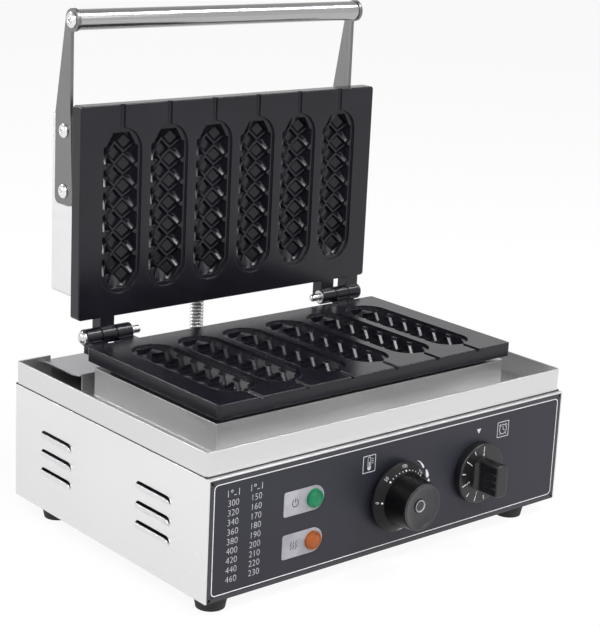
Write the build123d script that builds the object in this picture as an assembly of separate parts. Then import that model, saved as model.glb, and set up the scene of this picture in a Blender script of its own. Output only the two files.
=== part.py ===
"""Countertop waffle-stick iron with six bars, lid open, in millimetres.

+X is the operator's right, +Y the back, +Z up. The origin is the centre of the outer box on the table.
"""
import os
from math import cos, pi, radians, sin, sqrt

from build123d import *

os.makedirs("parts", exist_ok=True)

# Shared sheet, play and cutting values
sheet = 1.2
fit_gap = 0.05
run_gap = 0.05
overrun = 2.0
thread_play = 0.1

# Casing of the base
casing_width = 388.0
casing_depth = 272.0
casing_height = 99.0
casing_corner_radius = 2.5
top_flange_width = 14.0
foot_height = 12.0

# Feet: black rubber, wider at the top, screwed through the bottom plate
foot_top_radius = 14.0
foot_base_radius = 11.5
foot_left_inset = 19.0
foot_right_inset = 39.0
foot_front_inset = 18.0
foot_back_inset = 39.0
foot_screw_radius = 2.0
foot_screw_head_radius = 4.0
foot_screw_head_height = 2.4
foot_screw_sink = 6.0
foot_nut_width = 7.0
foot_nut_height = 3.2
foot_screw_tail = 2.0

# Louvres pressed out of both side walls, in two groups of three
louvre_length = 45.0
louvre_gap = 1.7
louvre_reach = 2.6
louvre_drop = 7.5
louvre_corner = 4.5
louvre_pitch = 16.2
louvre_top_height = 70.2
louvre_group_starts = (47.4, 184.7)
louvre_count = 3

# Bottom plate
bottom_lip = 12.0
vent_length = 60.0
vent_width = 4.0
vent_pitch = 14.0
vent_count = 6

# Front sheet, printed panel and what it carries
panel_thickness = 0.5
front_lip = 10.0
shaft_radius = 3.0
shaft_hole_radius = 4.6
dial_height = 47.0
dial_air_gap = 0.8
thermostat_x = -5.0
thermostat_hub_radius = 26.0
thermostat_skirt_radius = 29.4
thermostat_skirt_height = 7.0
thermostat_skirt_rim = 3.2
thermostat_skirt_rise = 5.4
thermostat_cap_root_radius = 22.5
thermostat_cap_radius = 19.9
thermostat_cap_reach = 34.0
thermostat_cap_edge = 1.0
thermostat_insert_radius = 5.2
thermostat_insert_height = 1.4
thermostat_body_radius = 19.0
thermostat_body_length = 26.0
thermostat_boss_radius = 6.0
timer_x = 90.0
timer_skirt_radius = 26.2
timer_skirt_height = 7.0
timer_grip_width = 12.8
timer_grip_radius = 14.0
timer_grip_reach = 31.0
timer_grip_scoop = 4.5
timer_grip_edge = 1.2
timer_body_width = 44.0
timer_body_height = 38.0
timer_body_length = 30.0
body_boss_length = 8.0
shaft_in_body = 14.0
skirt_edge = 1.6
knob_socket_depth = 16.0
lamp_x = -91.0
lamp_heights = (63.2, 28.0)
lamp_lens_radius = 7.6
lamp_lens_reach = 3.4
lamp_lens_edge = 1.8
lamp_stem_radius = 5.0
lamp_body_length = 24.0
lamp_nut_radius = 7.0
lamp_nut_height = 3.0
badge_thickness = 0.4
badge_height = 20.3
badge_left_reach = 30.4
badge_corner = 2.0

# Drip tray with its raised centre box
tray_sheet = 1.4
tray_rim_height = 20.0
tray_side_inset = 0.5
tray_front_inset = 4.4
tray_back_inset = 1.6
tray_corner_radius = 3.0
tray_gap_width = 322.0
pedestal_width = 315.0
pedestal_height = 25.0
pedestal_front_setback = 5.4
pedestal_back_setback = 7.6
pedestal_corner = 1.0
flange_gap = 1.4

# Rear shelf behind the plates
shelf_width = 332.0
shelf_height = 15.8
shelf_front_gap = 14.0
shelf_corner = 6.0
shelf_side_notch = 6.0

# Cooking plates: two castings of one pattern
plate_width = 320.0
plate_depth = 180.0
plate_edge = 12.0
plate_setback = 34.7
plate_lift = 4.7
plate_corner = 3.0
plate_edge_round = 1.0
closed_gap = 1.0
core_block_width = 292.0
core_block_front = 14.0
core_block_back = 18.7
casting_depth = 22.0
cavity_count = 6
cavity_pitch = 47.6
recess_width = 40.0
recess_length = 141.0
recess_depth = 1.9
core_half_width = 13.6
core_depth = 9.9
core_end_half_width = 8.0
core_end_depth = 5.8
core_taper = 9.0
core_margin = 4.2
pocket_half_width = 16.4
pocket_depth = 12.6
pocket_period = 19.0
pocket_rib = 2.8
pocket_floor_rib = 5.4
pocket_rim_reach = 5.6
pocket_columns = ((-72.0, 6), (-34.0, 7), (0.0, 6), (34.0, 7), (72.0, 6))
groove_radius = 2.5

# Hinge: knuckles cast on the plates, one pin a side
hinge_setback = 15.3
hinge_rise = 2.5
knuckle_radius = 7.2
knuckle_centre = 131.0
knuckle_width = 14.0
knuckle_gap = 1.0
outer_knuckle_width = 14.0
inner_knuckle_width = 15.0
lug_root_radius = 4.0
lug_sweep_gap = 1.0
lug_web_drop = 6.2
lug_web_thickness = 4.5
pin_radius = 3.5
pin_head_radius = 6.0
pin_head_width = 4.0
pin_tail = 11.0
pin_tip_round = 1.5
pin_clip_radius = 6.0
pin_clip_width = 1.2

# Heating kit behind each plate
heater_radius = 3.3
heater_run_pitch = 33.0
heater_bend = 14.0
heater_reach = 128.0
heater_end_reach = 134.0
heater_turn_reach = 122.0
lower_heater_tail = 26.0
upper_heater_tail = 8.0
heater_tail_bend = 7.0
clamp_thickness = 1.5
clamp_width = 210.0
clamp_depth = 124.0
clamp_bolt_radius = 2.5
clamp_bolt_head_radius = 4.5
clamp_bolt_head_height = 3.0
clamp_bolt_grip = 9.0
pad_width = 204.0
pad_depth = 124.0
pad_corner = 4.0

# Spacers and screws that hold the lower plate on the pedestal
spacer_radius = 3.8
plate_screw_radius = 2.0
plate_screw_head_radius = 3.6
plate_screw_head_height = 2.4
plate_screw_grip = 8.0
spacer_place = 30.0

# Heat shield under the casing's top flange
shield_sheet = 1.0
shield_overlap = 8.0
shield_hole_clearance = 2.0

# Thermostat bulb and its capillary
bulb_radius = 3.0
bulb_length = 80.0
capillary_radius = 1.0
capillary_out_x = 118.0
capillary_level = 40.0
capillary_bend = 12.0
capillary_bend_share = 0.45

# Terminal block, thermal cut-out and cord gland
terminal_width = 60.0
terminal_depth = 26.0
terminal_height = 20.0
terminal_side_inset = 84.0
terminal_back_inset = 62.0
terminal_screw_radius = 2.5
terminal_screw_height = 1.5
terminal_ways = 4
cutout_radius = 8.0
cutout_height = 5.0
cutout_x = -40.0
gland_side_inset = 74.0
gland_height = 30.0
gland_bore_radius = 4.3
gland_thread_radius = 8.0
gland_collar_width = 22.0
gland_collar_length = 5.0
gland_reach = 16.0
gland_dome_radius = 10.0
gland_dome_edge = 3.0
gland_inside = 9.0
gland_nut_length = 4.0

# Lid housing
housing_width = 302.4
housing_height = 45.0
housing_front_setback = 11.3
housing_back_setback = 13.6
housing_corner = 3.0
post_width = 8.0
post_side = 136.0
post_front = 20.0
post_back = 24.5
lid_screw_radius = 2.0
lid_screw_head_radius = 4.0
lid_screw_head_height = 2.2
lid_screw_grip = 8.0

# Lead conduit and the spring sleeve round it
conduit_x = -12.7
conduit_radius = 4.2
spring_mean_radius = 5.7
spring_wire = 1.7
spring_pitch = 3.2
spring_lead_in = 2.0
bush_flange_radius = 9.0
bush_flange_height = 3.0
bush_stem_radius = 6.5
bush_stem_length = 6.0
bush_nut_radius = 9.0
bush_nut_height = 3.0
bush_flange_edge = 0.8

# Handle
arm_thickness = 3.0
arm_width = 27.0
arm_overlap = 76.0
arm_plate_gap = 8.4
arm_corner = 6.0
arm_taper = 4.8
arm_neck_offset = 1.5
arm_neck_reach = 12.5
arm_head_radius = 9.6
arm_straight_past_lid = 1.0
arm_taper_past_lid = 7.0
tube_radius = 8.6
tube_wall = 1.5
tube_out = 67.3
tube_rise = 23.9
end_bolt_radius = 4.0
end_bolt_head_radius = 6.8
end_bolt_head_height = 2.6
end_bolt_edge = 1.0
end_bolt_grip = 14.0
end_plug_length = 10.0
arm_screw_radius = 2.5
arm_screw_head_radius = 6.2
arm_screw_head_height = 3.0
arm_screw_edge = 2.0
arm_screw_grip = 6.0
arm_screw_first = 13.5
arm_screw_spacing = 50.9

# Places worked out from the sizes above
overall_depth = thermostat_cap_reach + casing_depth + gland_reach
casing_front = thermostat_cap_reach - overall_depth / 2
casing_back = casing_front + casing_depth
casing_side = casing_width / 2
casing_bottom = foot_height
casing_top = casing_bottom + casing_height
tray_floor_top = casing_top + tray_sheet
tray_top = casing_top + tray_rim_height
tray_side = casing_side - tray_side_inset
tray_front = casing_front + tray_front_inset
tray_back = casing_back - tray_back_inset
pedestal_top = casing_top + pedestal_height
plate_bottom = pedestal_top + plate_lift
plate_top = plate_bottom + plate_edge
plate_front = casing_front + plate_setback
plate_back = plate_front + plate_depth
plate_side = plate_width / 2
pedestal_side = pedestal_width / 2
pedestal_front = plate_front + pedestal_front_setback
pedestal_back = plate_back - pedestal_back_setback
hinge_y = plate_back + hinge_setback
hinge_z = plate_top + hinge_rise
lid_face = plate_top + closed_gap
core_block_side = core_block_width / 2
core_block_end = plate_depth - core_block_back
opening_side = core_block_side + flange_gap
opening_front = plate_front + core_block_front - flange_gap
opening_back = plate_front + core_block_end + flange_gap
shelf_top = casing_top + shelf_height
shelf_front = pedestal_back + shelf_front_gap
shelf_web_face = casing_back - tray_back_inset
lid_casting_back = hinge_y - hinge_rise + closed_gap + casting_depth
conduit_y = (lid_casting_back + shelf_web_face) / 2
conduit_setback = conduit_y - hinge_y
dial_z = casing_bottom + dial_height
terminal_x = casing_side - terminal_side_inset
gland_x = casing_side - gland_side_inset
front_face = casing_front + panel_thickness
front_inner = front_face + sheet
cavity_middle = plate_depth / 2
heater_level = -casting_depth - heater_radius
clamp_level = -casting_depth - 2 * heater_radius
head_level = clamp_level - clamp_thickness - clamp_bolt_head_height
shield_top = casing_top - sheet
housing_side = housing_width / 2
housing_front = plate_front + housing_front_setback
housing_back = plate_back - housing_back_setback
housing_base = lid_face + plate_edge
housing_top = housing_base + housing_height
tube_y = plate_front - tube_out
tube_z = lid_face + tube_rise
arm_low = housing_base + arm_plate_gap
arm_middle = arm_low + arm_width / 2
bolt_x = 2 * cavity_pitch
bolt_offset = heater_run_pitch


def mean(span):
    """Middle of a pair of limits."""
    return (span[0] + span[1]) / 2


def block(x_span, y_span, z_span):
    """Box between two limits on each axis."""
    size = [high - low for low, high in (x_span, y_span, z_span)]
    return Pos(mean(x_span), mean(y_span), mean(z_span)) * Box(*size)


def prism(x_span, y_span, z_span, radius):
    """Upright box with rounded vertical edges."""
    outline = RectangleRounded(x_span[1] - x_span[0], y_span[1] - y_span[0], radius)
    return Pos(mean(x_span), mean(y_span), z_span[0]) * extrude(outline, z_span[1] - z_span[0])


def bar_x(radius, x_span, y, z):
    """Round bar along X."""
    return Pos(mean(x_span), y, z) * Rot(0, 90, 0) * Cylinder(radius, x_span[1] - x_span[0])


def bar_y(radius, x, y_span, z):
    """Round bar along Y."""
    return Pos(x, mean(y_span), z) * Rot(90, 0, 0) * Cylinder(radius, y_span[1] - y_span[0])


def bar_z(radius, x, y, z_span):
    """Upright round bar."""
    return Pos(x, y, mean(z_span)) * Cylinder(radius, z_span[1] - z_span[0])


def both_sides(x):
    """The two mirror places of a distance from the centre plane."""
    return (-x, x)


def around(middle, half):
    """Limits that lie evenly about a middle."""
    return (middle - half, middle + half)


def group(solids):
    """Separate like solids kept as one sub-part."""
    return Compound(children=list(solids))


def opened(shape):
    """Turn a lid piece from its closed place to the open rest place."""
    return Pos(0, hinge_y, hinge_z) * Rot(-90, 0, 0) * Pos(0, -hinge_y, -hinge_z) * shape


def lower_place(shape):
    """Seat a piece of the plate kit, made with its cooking face at z = 0 and facing up, in the base."""
    return Pos(0, plate_front, plate_top) * shape


def upper_place(shape):
    """Seat a piece of the plate kit, face down, in the lid and open the lid."""
    return opened(Pos(0, plate_front, lid_face) * Rot(0, 180, 0) * shape)


# Casing


def louvre_places():
    """Start along Y and slit height of each louvre of one side."""
    for start in louvre_group_starts:
        for row in range(louvre_count):
            yield casing_front + start, casing_bottom + louvre_top_height - row * louvre_pitch


def louvre_prism(start, z_span, reach):
    """Prism through both side walls with the arched outline of one louvre."""
    length = z_span[1] - z_span[0]
    outline = Rectangle(louvre_length, length)
    outline = fillet(outline.vertices().group_by(Axis.Y)[-1], louvre_corner)
    centre = (0, start + louvre_length / 2, mean(z_span))
    return extrude(Plane(origin=centre, x_dir=(0, 1, 0), z_dir=(1, 0, 0)) * outline, reach, both=True)


def louvre_tongue(side, start, z_top):
    """Tongue of the wall pushed outwards, hinged at its lower edge, below its own cut-out."""
    outer = side * casing_side
    root = side * (casing_side - sheet)
    low = z_top - louvre_drop
    tip_z = z_top - louvre_gap
    outline = Polyline(
        (root, 0, low - sheet),
        (outer, 0, low - sheet),
        (outer, 0, low),
        (outer + side * louvre_reach, 0, tip_z),
        (root + side * louvre_reach, 0, tip_z),
        (root, 0, low),
        close=True,
    )
    slab = extrude(Pos(0, start, 0) * make_face(outline), amount=louvre_length, dir=(0, 1, 0))
    return slab & louvre_prism(start, (low - 2 * sheet, tip_z), casing_width)


def make_base_casing():
    z_span = (casing_bottom, casing_top)
    y_span = (casing_front, casing_back)
    shell = block(around(0, casing_side), y_span, z_span)
    rear_edges = shell.edges().filter_by(Axis.Z).group_by(Axis.Y)[-1]
    shell = fillet(rear_edges, casing_corner_radius)
    inner = casing_side - sheet
    inner_y = (casing_front - overrun, casing_back - sheet)
    shell -= block(around(0, inner), inner_y, (casing_bottom - overrun, casing_top - sheet))
    rim = top_flange_width
    rim_y = (casing_front + rim, casing_back - rim)
    shell -= block(around(0, casing_side - rim), rim_y, (casing_top - 2 * sheet, casing_top + overrun))
    shell -= [louvre_prism(start, (z - louvre_drop, z), casing_width) for start, z in louvre_places()]
    for side in (-1, 1):
        for start, height in louvre_places():
            shell += louvre_tongue(side, start, height)
    gland_hole = (casing_back - 2 * sheet, casing_back + overrun)
    shell -= bar_y(gland_thread_radius + thread_play, gland_x, gland_hole, casing_bottom + gland_height)
    return shell


def make_bottom_plate():
    inset = sheet + fit_gap
    x_span = around(0, casing_side - inset)
    y_span = (front_inner + fit_gap, casing_back - inset)
    plate = block(x_span, y_span, (casing_bottom, casing_bottom + bottom_lip))
    hollow_y = (y_span[0] + sheet, y_span[1] - sheet)
    hollow_z = (casing_bottom + sheet, casing_bottom + bottom_lip + overrun)
    plate -= block((x_span[0] + sheet, x_span[1] - sheet), hollow_y, hollow_z)
    cut_z = (casing_bottom - overrun, casing_bottom + 2 * sheet)
    vents = []
    for i in range(vent_count):
        y = mean(y_span) + (i - (vent_count - 1) / 2) * vent_pitch
        for x in both_sides(vent_length):
            ends = around(x, vent_length / 2)
            vents.append(prism(ends, around(y, vent_width / 2), cut_z, vent_width / 2 - fit_gap))
    holes = [bar_z(foot_screw_radius + thread_play, x, y, cut_z) for x, y in foot_places()]
    return plate - vents - holes


def foot_places():
    """Centres of the four feet."""
    xs = (-casing_side + foot_left_inset, casing_side - foot_right_inset)
    ys = (casing_front + foot_front_inset, casing_back - foot_back_inset)
    return [(x, y) for x in xs for y in ys]


def make_feet():
    feet = []
    for x, y in foot_places():
        foot = Pos(x, y, foot_height / 2) * Cone(foot_base_radius, foot_top_radius, foot_height)
        foot -= bar_z(foot_screw_head_radius + thread_play, x, y, (-overrun, foot_screw_sink))
        foot -= bar_z(foot_screw_radius + thread_play, x, y, (-overrun, foot_height + overrun))
        feet.append(foot)
    return group(feet)


def make_foot_screws():
    screws = []
    nut_low = casing_bottom + sheet
    nut_top = nut_low + foot_nut_height
    for x, y in foot_places():
        head_z = (foot_screw_sink - foot_screw_head_height, foot_screw_sink)
        screw = bar_z(foot_screw_head_radius, x, y, head_z)
        screw += bar_z(foot_screw_radius, x, y, (foot_screw_sink, nut_top + foot_screw_tail))
        nut = extrude(RegularPolygon(foot_nut_width / 2, 6, major_radius=False), foot_nut_height)
        screw += Pos(x, y, nut_low) * nut
        screws.append(screw)
    return group(screws)


# Front sheet and control panel


def front_holes(lamp_hole_radius):
    """Cutters for the shafts and lamps through the front."""
    y_span = (casing_front - overrun, front_inner + overrun)
    for x in (thermostat_x, timer_x):
        yield bar_y(shaft_hole_radius, x, y_span, dial_z)
    for height in lamp_heights:
        yield bar_y(lamp_hole_radius, lamp_x, y_span, casing_bottom + height)


def make_front_sheet():
    side = casing_side - sheet - fit_gap
    z_span = (casing_bottom, casing_top - sheet - fit_gap)
    panel = block(around(0, side), (front_face, front_face + front_lip), z_span)
    lip_y = (front_inner, front_face + front_lip + overrun)
    panel -= block(around(0, side - sheet), lip_y, (casing_bottom - overrun, casing_top))
    foot_z = (casing_bottom - overrun, casing_bottom + bottom_lip + fit_gap)
    panel -= block(around(0, side + overrun), lip_y, foot_z)
    return panel - list(front_holes(lamp_stem_radius + thread_play))


def make_control_panel():
    side = casing_side - sheet - fit_gap
    z_span = (casing_bottom + fit_gap, casing_top - sheet - fit_gap)
    panel = block(around(0, side), (casing_front, front_face), z_span)
    return panel - list(front_holes(lamp_stem_radius + thread_play))


def make_lamp_badges():
    badges = []
    radius = badge_height / 2
    for height in lamp_heights:
        z = casing_bottom + height
        y_span = (casing_front - badge_thickness, casing_front)
        badge = block((lamp_x - badge_left_reach, lamp_x), y_span, around(z, radius))
        left = badge.edges().filter_by(Axis.Y).group_by(Axis.X)[0]
        badge = fillet(left, badge_corner)
        badge += bar_y(radius, lamp_x, y_span, z)
        hole_y = (casing_front - overrun, casing_front + overrun)
        badges.append(badge - bar_y(lamp_stem_radius + thread_play, lamp_x, hole_y, z))
    return group(badges)


def make_lamp_lens(height):
    """Domed lens with its stem through the panel."""
    z = casing_bottom + height
    base = casing_front - badge_thickness
    lens = bar_y(lamp_lens_radius, lamp_x, (base - lamp_lens_reach, base), z)
    lens = fillet(lens.edges().filter_by(GeomType.CIRCLE).group_by(Axis.Y)[0], lamp_lens_edge)
    return lens + bar_y(lamp_stem_radius, lamp_x, (base - fit_gap, front_inner), z)


def make_lamp_bodies():
    bodies = []
    for height in lamp_heights:
        z = casing_bottom + height
        body = bar_y(lamp_stem_radius, lamp_x, (front_inner, front_inner + lamp_body_length), z)
        body += bar_y(lamp_nut_radius, lamp_x, (front_inner, front_inner + lamp_nut_height), z)
        bodies.append(body)
    return group(bodies)


def make_shaft(x):
    """Steel spindle from inside the switch body to the knob."""
    y_span = (casing_front - knob_socket_depth, front_inner + shaft_in_body)
    return bar_y(shaft_radius, x, y_span, dial_z)


def shaft_bore(x):
    """Running bore for a spindle in a switch body."""
    y_span = (front_inner - overrun, front_inner + shaft_in_body + run_gap)
    return bar_y(shaft_radius + run_gap, x, y_span, dial_z)


def make_thermostat_body():
    y_span = (front_inner, front_inner + thermostat_body_length)
    body = bar_y(thermostat_body_radius, thermostat_x, y_span, dial_z)
    boss = (y_span[1], y_span[1] + body_boss_length)
    body += bar_y(thermostat_boss_radius, thermostat_x, boss, dial_z)
    return body - shaft_bore(thermostat_x)


def make_timer_body():
    y_span = (front_inner, front_inner + timer_body_length)
    body = block(around(timer_x, timer_body_width / 2), y_span, around(dial_z, timer_body_height / 2))
    body = fillet(body.edges().filter_by(Axis.Y), skirt_edge)
    return body - shaft_bore(timer_x)


def knob_socket(x):
    """Blind socket of a knob, a close fit on its spindle."""
    y_span = (casing_front - knob_socket_depth - fit_gap, casing_front + overrun)
    return bar_y(shaft_radius + fit_gap, x, y_span, dial_z)


def make_thermostat_knob():
    """Narrow hub, thin rim, number skirt that rises to the cap, and the tapered cap."""
    back = casing_front - dial_air_gap
    front = back - thermostat_skirt_height
    face = casing_front - thermostat_cap_reach
    outline = Polyline(
        (0, back),
        (thermostat_hub_radius, back),
        (thermostat_hub_radius, front + thermostat_skirt_rim),
        (thermostat_skirt_radius, front + thermostat_skirt_rim),
        (thermostat_skirt_radius, front),
        (thermostat_cap_root_radius, front - thermostat_skirt_rise),
        (thermostat_cap_radius, face),
        (0, face),
        close=True,
    )
    knob = revolve(make_face(outline), Axis.Y)
    knob = fillet(knob.faces().sort_by(Axis.Y)[0].edges(), thermostat_cap_edge)
    seat = (face - overrun, face + thermostat_insert_height)
    knob = Pos(thermostat_x, 0, dial_z) * knob
    knob -= bar_y(thermostat_insert_radius + fit_gap, thermostat_x, seat, dial_z)
    return knob - knob_socket(thermostat_x)


def make_thermostat_insert():
    face = casing_front - thermostat_cap_reach
    return bar_y(thermostat_insert_radius, thermostat_x, (face, face + thermostat_insert_height), dial_z)


def make_timer_knob():
    back = casing_front - dial_air_gap
    front = back - timer_skirt_height
    skirt = bar_y(timer_skirt_radius, timer_x, (front, back), dial_z)
    skirt = fillet(skirt.edges().filter_by(GeomType.CIRCLE).group_by(Axis.Y)[0], skirt_edge)
    grip_y = (casing_front - timer_grip_reach, front)
    grip = bar_y(timer_grip_radius, timer_x, grip_y, dial_z)
    half_width = timer_grip_width / 2
    height = around(dial_z, timer_grip_radius + overrun)
    for side in (-1, 1):
        flat = timer_x + side * half_width
        away = timer_x + side * (timer_grip_radius + overrun)
        scoop = block(sorted((flat, away)), (grip_y[0] - overrun, front - timer_grip_scoop), height)
        centre = flat + side * timer_grip_scoop
        curve = bar_z(timer_grip_scoop, centre, front - timer_grip_scoop, height)
        beside = block(sorted((centre, away)), (grip_y[0] - overrun, front), height)
        grip -= [scoop, curve, beside]
    grip = fillet(grip.faces().sort_by(Axis.Y)[0].edges(), timer_grip_edge)
    return skirt + grip - knob_socket(timer_x)


# Drip tray and rear shelf


def make_drip_tray():
    y_span = (tray_front, tray_back)
    tray = prism(around(0, tray_side), y_span, (casing_top, tray_top), tray_corner_radius)
    inner_y = (tray_front + tray_sheet, tray_back - tray_sheet)
    inner_x = around(0, tray_side - tray_sheet)
    inner_radius = tray_corner_radius - tray_sheet
    tray -= prism(inner_x, inner_y, (tray_floor_top, tray_top + overrun), inner_radius)
    pedestal_y = (pedestal_front, pedestal_back)
    tray += prism(around(0, pedestal_side), pedestal_y, (casing_top, pedestal_top), pedestal_corner)
    hollow_x = around(0, pedestal_side - tray_sheet)
    hollow_y = (pedestal_front + tray_sheet, pedestal_back - tray_sheet)
    tray -= block(hollow_x, hollow_y, (casing_top - overrun, pedestal_top - tray_sheet))
    mouth_z = (pedestal_top - 2 * tray_sheet, pedestal_top + overrun)
    tray -= block(around(0, opening_side), (opening_front, opening_back), mouth_z)
    gap_y = (tray_back - 2 * tray_sheet, tray_back + overrun)
    gap_z = (tray_floor_top, tray_top + overrun)
    gap = block(around(0, tray_gap_width / 2), gap_y, gap_z)
    tray -= gap
    cut_z = (pedestal_top - 2 * tray_sheet, pedestal_top + overrun)
    screw_hole = plate_screw_radius + thread_play
    return tray - [bar_z(screw_hole, x, y, cut_z) for x, y in spacer_places()]


def make_rear_shelf():
    side = shelf_width / 2
    back = casing_back
    top_z = (shelf_top - tray_sheet, shelf_top)
    shelf = block(around(0, side), (shelf_front, back), top_z)
    front_corners = shelf.edges().filter_by(Axis.Z).group_by(Axis.Y)[0]
    shelf = fillet(front_corners, shelf_corner)
    notch_y = (tray_back - tray_sheet - fit_gap, back + overrun)
    for sign in (-1, 1):
        ends = sorted((sign * (side - shelf_side_notch), sign * (side + overrun)))
        shelf -= block(ends, notch_y, (top_z[0] - overrun, top_z[1] + overrun))
    web_side = side - shelf_corner
    web_z = (tray_floor_top, shelf_top - tray_sheet)
    shelf += block(around(0, web_side), (shelf_front, shelf_front + tray_sheet), web_z)
    rear_side = side - shelf_side_notch
    shelf += block(around(0, rear_side), (shelf_web_face, back), (casing_top, web_z[1]))
    hole_z = (shelf_top - 2 * tray_sheet, shelf_top + overrun)
    return shelf - bar_z(bush_stem_radius + fit_gap, conduit_x, conduit_y, hole_z)


def spacer_places():
    """Centres of the four spacers under the lower plate."""
    x = (pedestal_side - tray_sheet + opening_side) / 2
    ys = (plate_front + spacer_place, plate_back - spacer_place)
    return [(sign * x, y) for sign in (-1, 1) for y in ys]


def make_plate_spacers():
    cut = (pedestal_top - overrun, plate_bottom + overrun)
    hole = plate_screw_radius + thread_play
    rings = []
    for x, y in spacer_places():
        ring = bar_z(spacer_radius, x, y, (pedestal_top, plate_bottom))
        rings.append(ring - bar_z(hole, x, y, cut))
    return group(rings)


def make_plate_screws():
    screws = []
    under = pedestal_top - tray_sheet
    for x, y in spacer_places():
        screw = bar_z(plate_screw_head_radius, x, y, (under - plate_screw_head_height, under))
        screws.append(screw + bar_z(plate_screw_radius, x, y, (under, plate_bottom + plate_screw_grip)))
    return group(screws)


# Cooking plates, in a frame of their own: face up at z = 0, front edge at y = 0


def pocket_reach(rib):
    """Half of a pocket's width across and along the trough, between crossed ribs of a given width."""
    half_axial = pocket_period / 2
    half_round = mean((pocket_half_width, pocket_depth)) * radians(pocket_columns[-1][0]) / 2
    in_radius = half_axial * half_round / sqrt(half_axial**2 + half_round**2)
    shrink = 1 - rib / 2 / in_radius
    return half_round * shrink, half_axial * shrink


def lozenge(rib, side):
    """Outline of a pocket in the trough's floor."""
    a, b = pocket_reach(rib)
    return make_face(Polyline((side * a, 0), (0, b), (-side * a, 0), (0, -b), close=True))


def rim_pocket(rib, side):
    """Outline of a pocket in the side wall: pointed below, upright ribs beside it, open at the rim."""
    a, b = pocket_reach(rib)
    wall = (pocket_period - rib) / 2
    knee = side * a * (wall / b - 1)
    rim = side * pocket_rim_reach
    corners = ((-side * a, 0), (knee, wall), (rim, wall), (rim, -wall), (knee, -wall))
    return make_face(Polyline(*corners, close=True))


def pocket_cutter(outline, side):
    """Cutter of one pocket: walls that lean in to its floor, then straight through the trough's surface."""
    draft_height = pocket_depth - core_depth
    mouth = Pos(0, 0, draft_height) * outline(pocket_rib, side)
    lower = loft([outline(pocket_floor_rib, side), mouth], ruled=True)
    return lower + extrude(mouth, pocket_half_width - core_end_half_width - draft_height)


def pocket_place(angle, y):
    """Place square to the oval trough wall at an angle from its lowest line."""
    across = sin(radians(angle))
    down = cos(radians(angle))
    origin = (pocket_half_width * across, y, -pocket_depth * down - recess_depth)
    inwards = (-across / pocket_half_width, 0, down / pocket_depth)
    return Plane(origin=origin, x_dir=(inwards[2], 0, -inwards[0]), z_dir=inwards)


def trough_section(half_width, depth, y):
    """Oval section of the trough square to its length."""
    face = make_face(Ellipse(half_width, depth).edges())
    return Plane(origin=(0, y, -recess_depth), x_dir=(1, 0, 0), z_dir=(0, -1, 0)) * face


def cavity_cutter():
    """Everything cut for one waffle bar: recess, oval trough, rib pockets and stick groove."""
    half = recess_length / 2 - core_margin
    taper = half - core_taper
    core = extrude(trough_section(core_half_width, core_depth, 0), taper, both=True)
    for side in (-1, 1):
        wide = trough_section(core_half_width, core_depth, side * taper)
        narrow = trough_section(core_end_half_width, core_end_depth, side * half)
        core += loft([wide, narrow], ruled=True)
    recess = Pos(0, 0, -recess_depth) * extrude(
        Rot(0, 0, 90) * SlotOverall(recess_length, recess_width), recess_depth + overrun
    )
    pockets = []
    for angle, count in pocket_columns:
        side = 1 if angle > 0 else -1
        outline = rim_pocket if abs(angle) == pocket_columns[-1][0] else lozenge
        cutter = pocket_cutter(outline, side)
        for i in range(count):
            y = (i - (count - 1) / 2) * pocket_period
            pockets.append(pocket_place(angle, y) * cutter)
    groove = bar_y(groove_radius, 0, (-cavity_middle - overrun, -taper), 0)
    return core + pockets + recess + groove


def make_casting_body():
    """Slab with the thicker cavity block behind it, six bars cut in."""
    slab = prism(around(0, plate_side), (0, plate_depth), (-plate_edge, 0), plate_corner)
    slab = fillet(slab.faces().sort_by(Axis.Z)[-1].edges(), plate_edge_round)
    block_y = (core_block_front, core_block_end)
    body = slab + block(around(0, core_block_side), block_y, (-casting_depth, -plate_edge))
    cutter = cavity_cutter()
    first = -(cavity_count - 1) / 2 * cavity_pitch
    cutters = [Pos(first + i * cavity_pitch, cavity_middle, 0) * cutter for i in range(cavity_count)]
    body -= cutters
    bolt_z = (-casting_depth - overrun, -casting_depth + clamp_bolt_grip + fit_gap)
    bolt_hole = clamp_bolt_radius + thread_play
    return body - [bar_z(bolt_hole, x, y, bolt_z) for x, y in bolt_places()]


def knuckle_spans():
    """Widths along X of the three knuckles of the right-hand hinge, from inside out."""
    middle = around(knuckle_centre, knuckle_width / 2)
    inner = (middle[0] - knuckle_gap - inner_knuckle_width, middle[0] - knuckle_gap)
    outer = (middle[1] + knuckle_gap, middle[1] + knuckle_gap + outer_knuckle_width)
    return inner, middle, outer


def add_lugs(body, axis_z):
    """Cast the hinge lugs on: two knuckles at the left, the single one at the right."""
    inner, middle, outer = knuckle_spans()
    spans = [(-inner[1], -inner[0]), (-outer[1], -outer[0]), middle]
    axis_y = plate_depth + hinge_setback
    low = max(-plate_edge, axis_z - knuckle_radius - plate_edge / 2)
    for span in spans:
        arm_y = (plate_depth - plate_corner - lug_root_radius, axis_y)
        body += block(span, arm_y, (low, min(0, axis_z + knuckle_radius)))
        body += bar_x(knuckle_radius, span, axis_y, axis_z)
        body -= bar_x(pin_radius + run_gap, (span[0] - overrun, span[1] + overrun), axis_y, axis_z)
    for x_span in (middle, inner, outer):
        mirrored = (-x_span[1], -x_span[0])
        for span in (x_span, mirrored):
            if span not in spans:
                sweep = (span[0] - knuckle_gap, span[1] + knuckle_gap)
                body -= bar_x(knuckle_radius + lug_sweep_gap, sweep, axis_y, axis_z)
    return body


def bolt_places():
    """Clamp bolts, in the webs between bars and between heater runs."""
    xs = both_sides(bolt_x)
    ys = (cavity_middle - bolt_offset, cavity_middle + bolt_offset)
    return [(x, y) for x in xs for y in ys]


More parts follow.
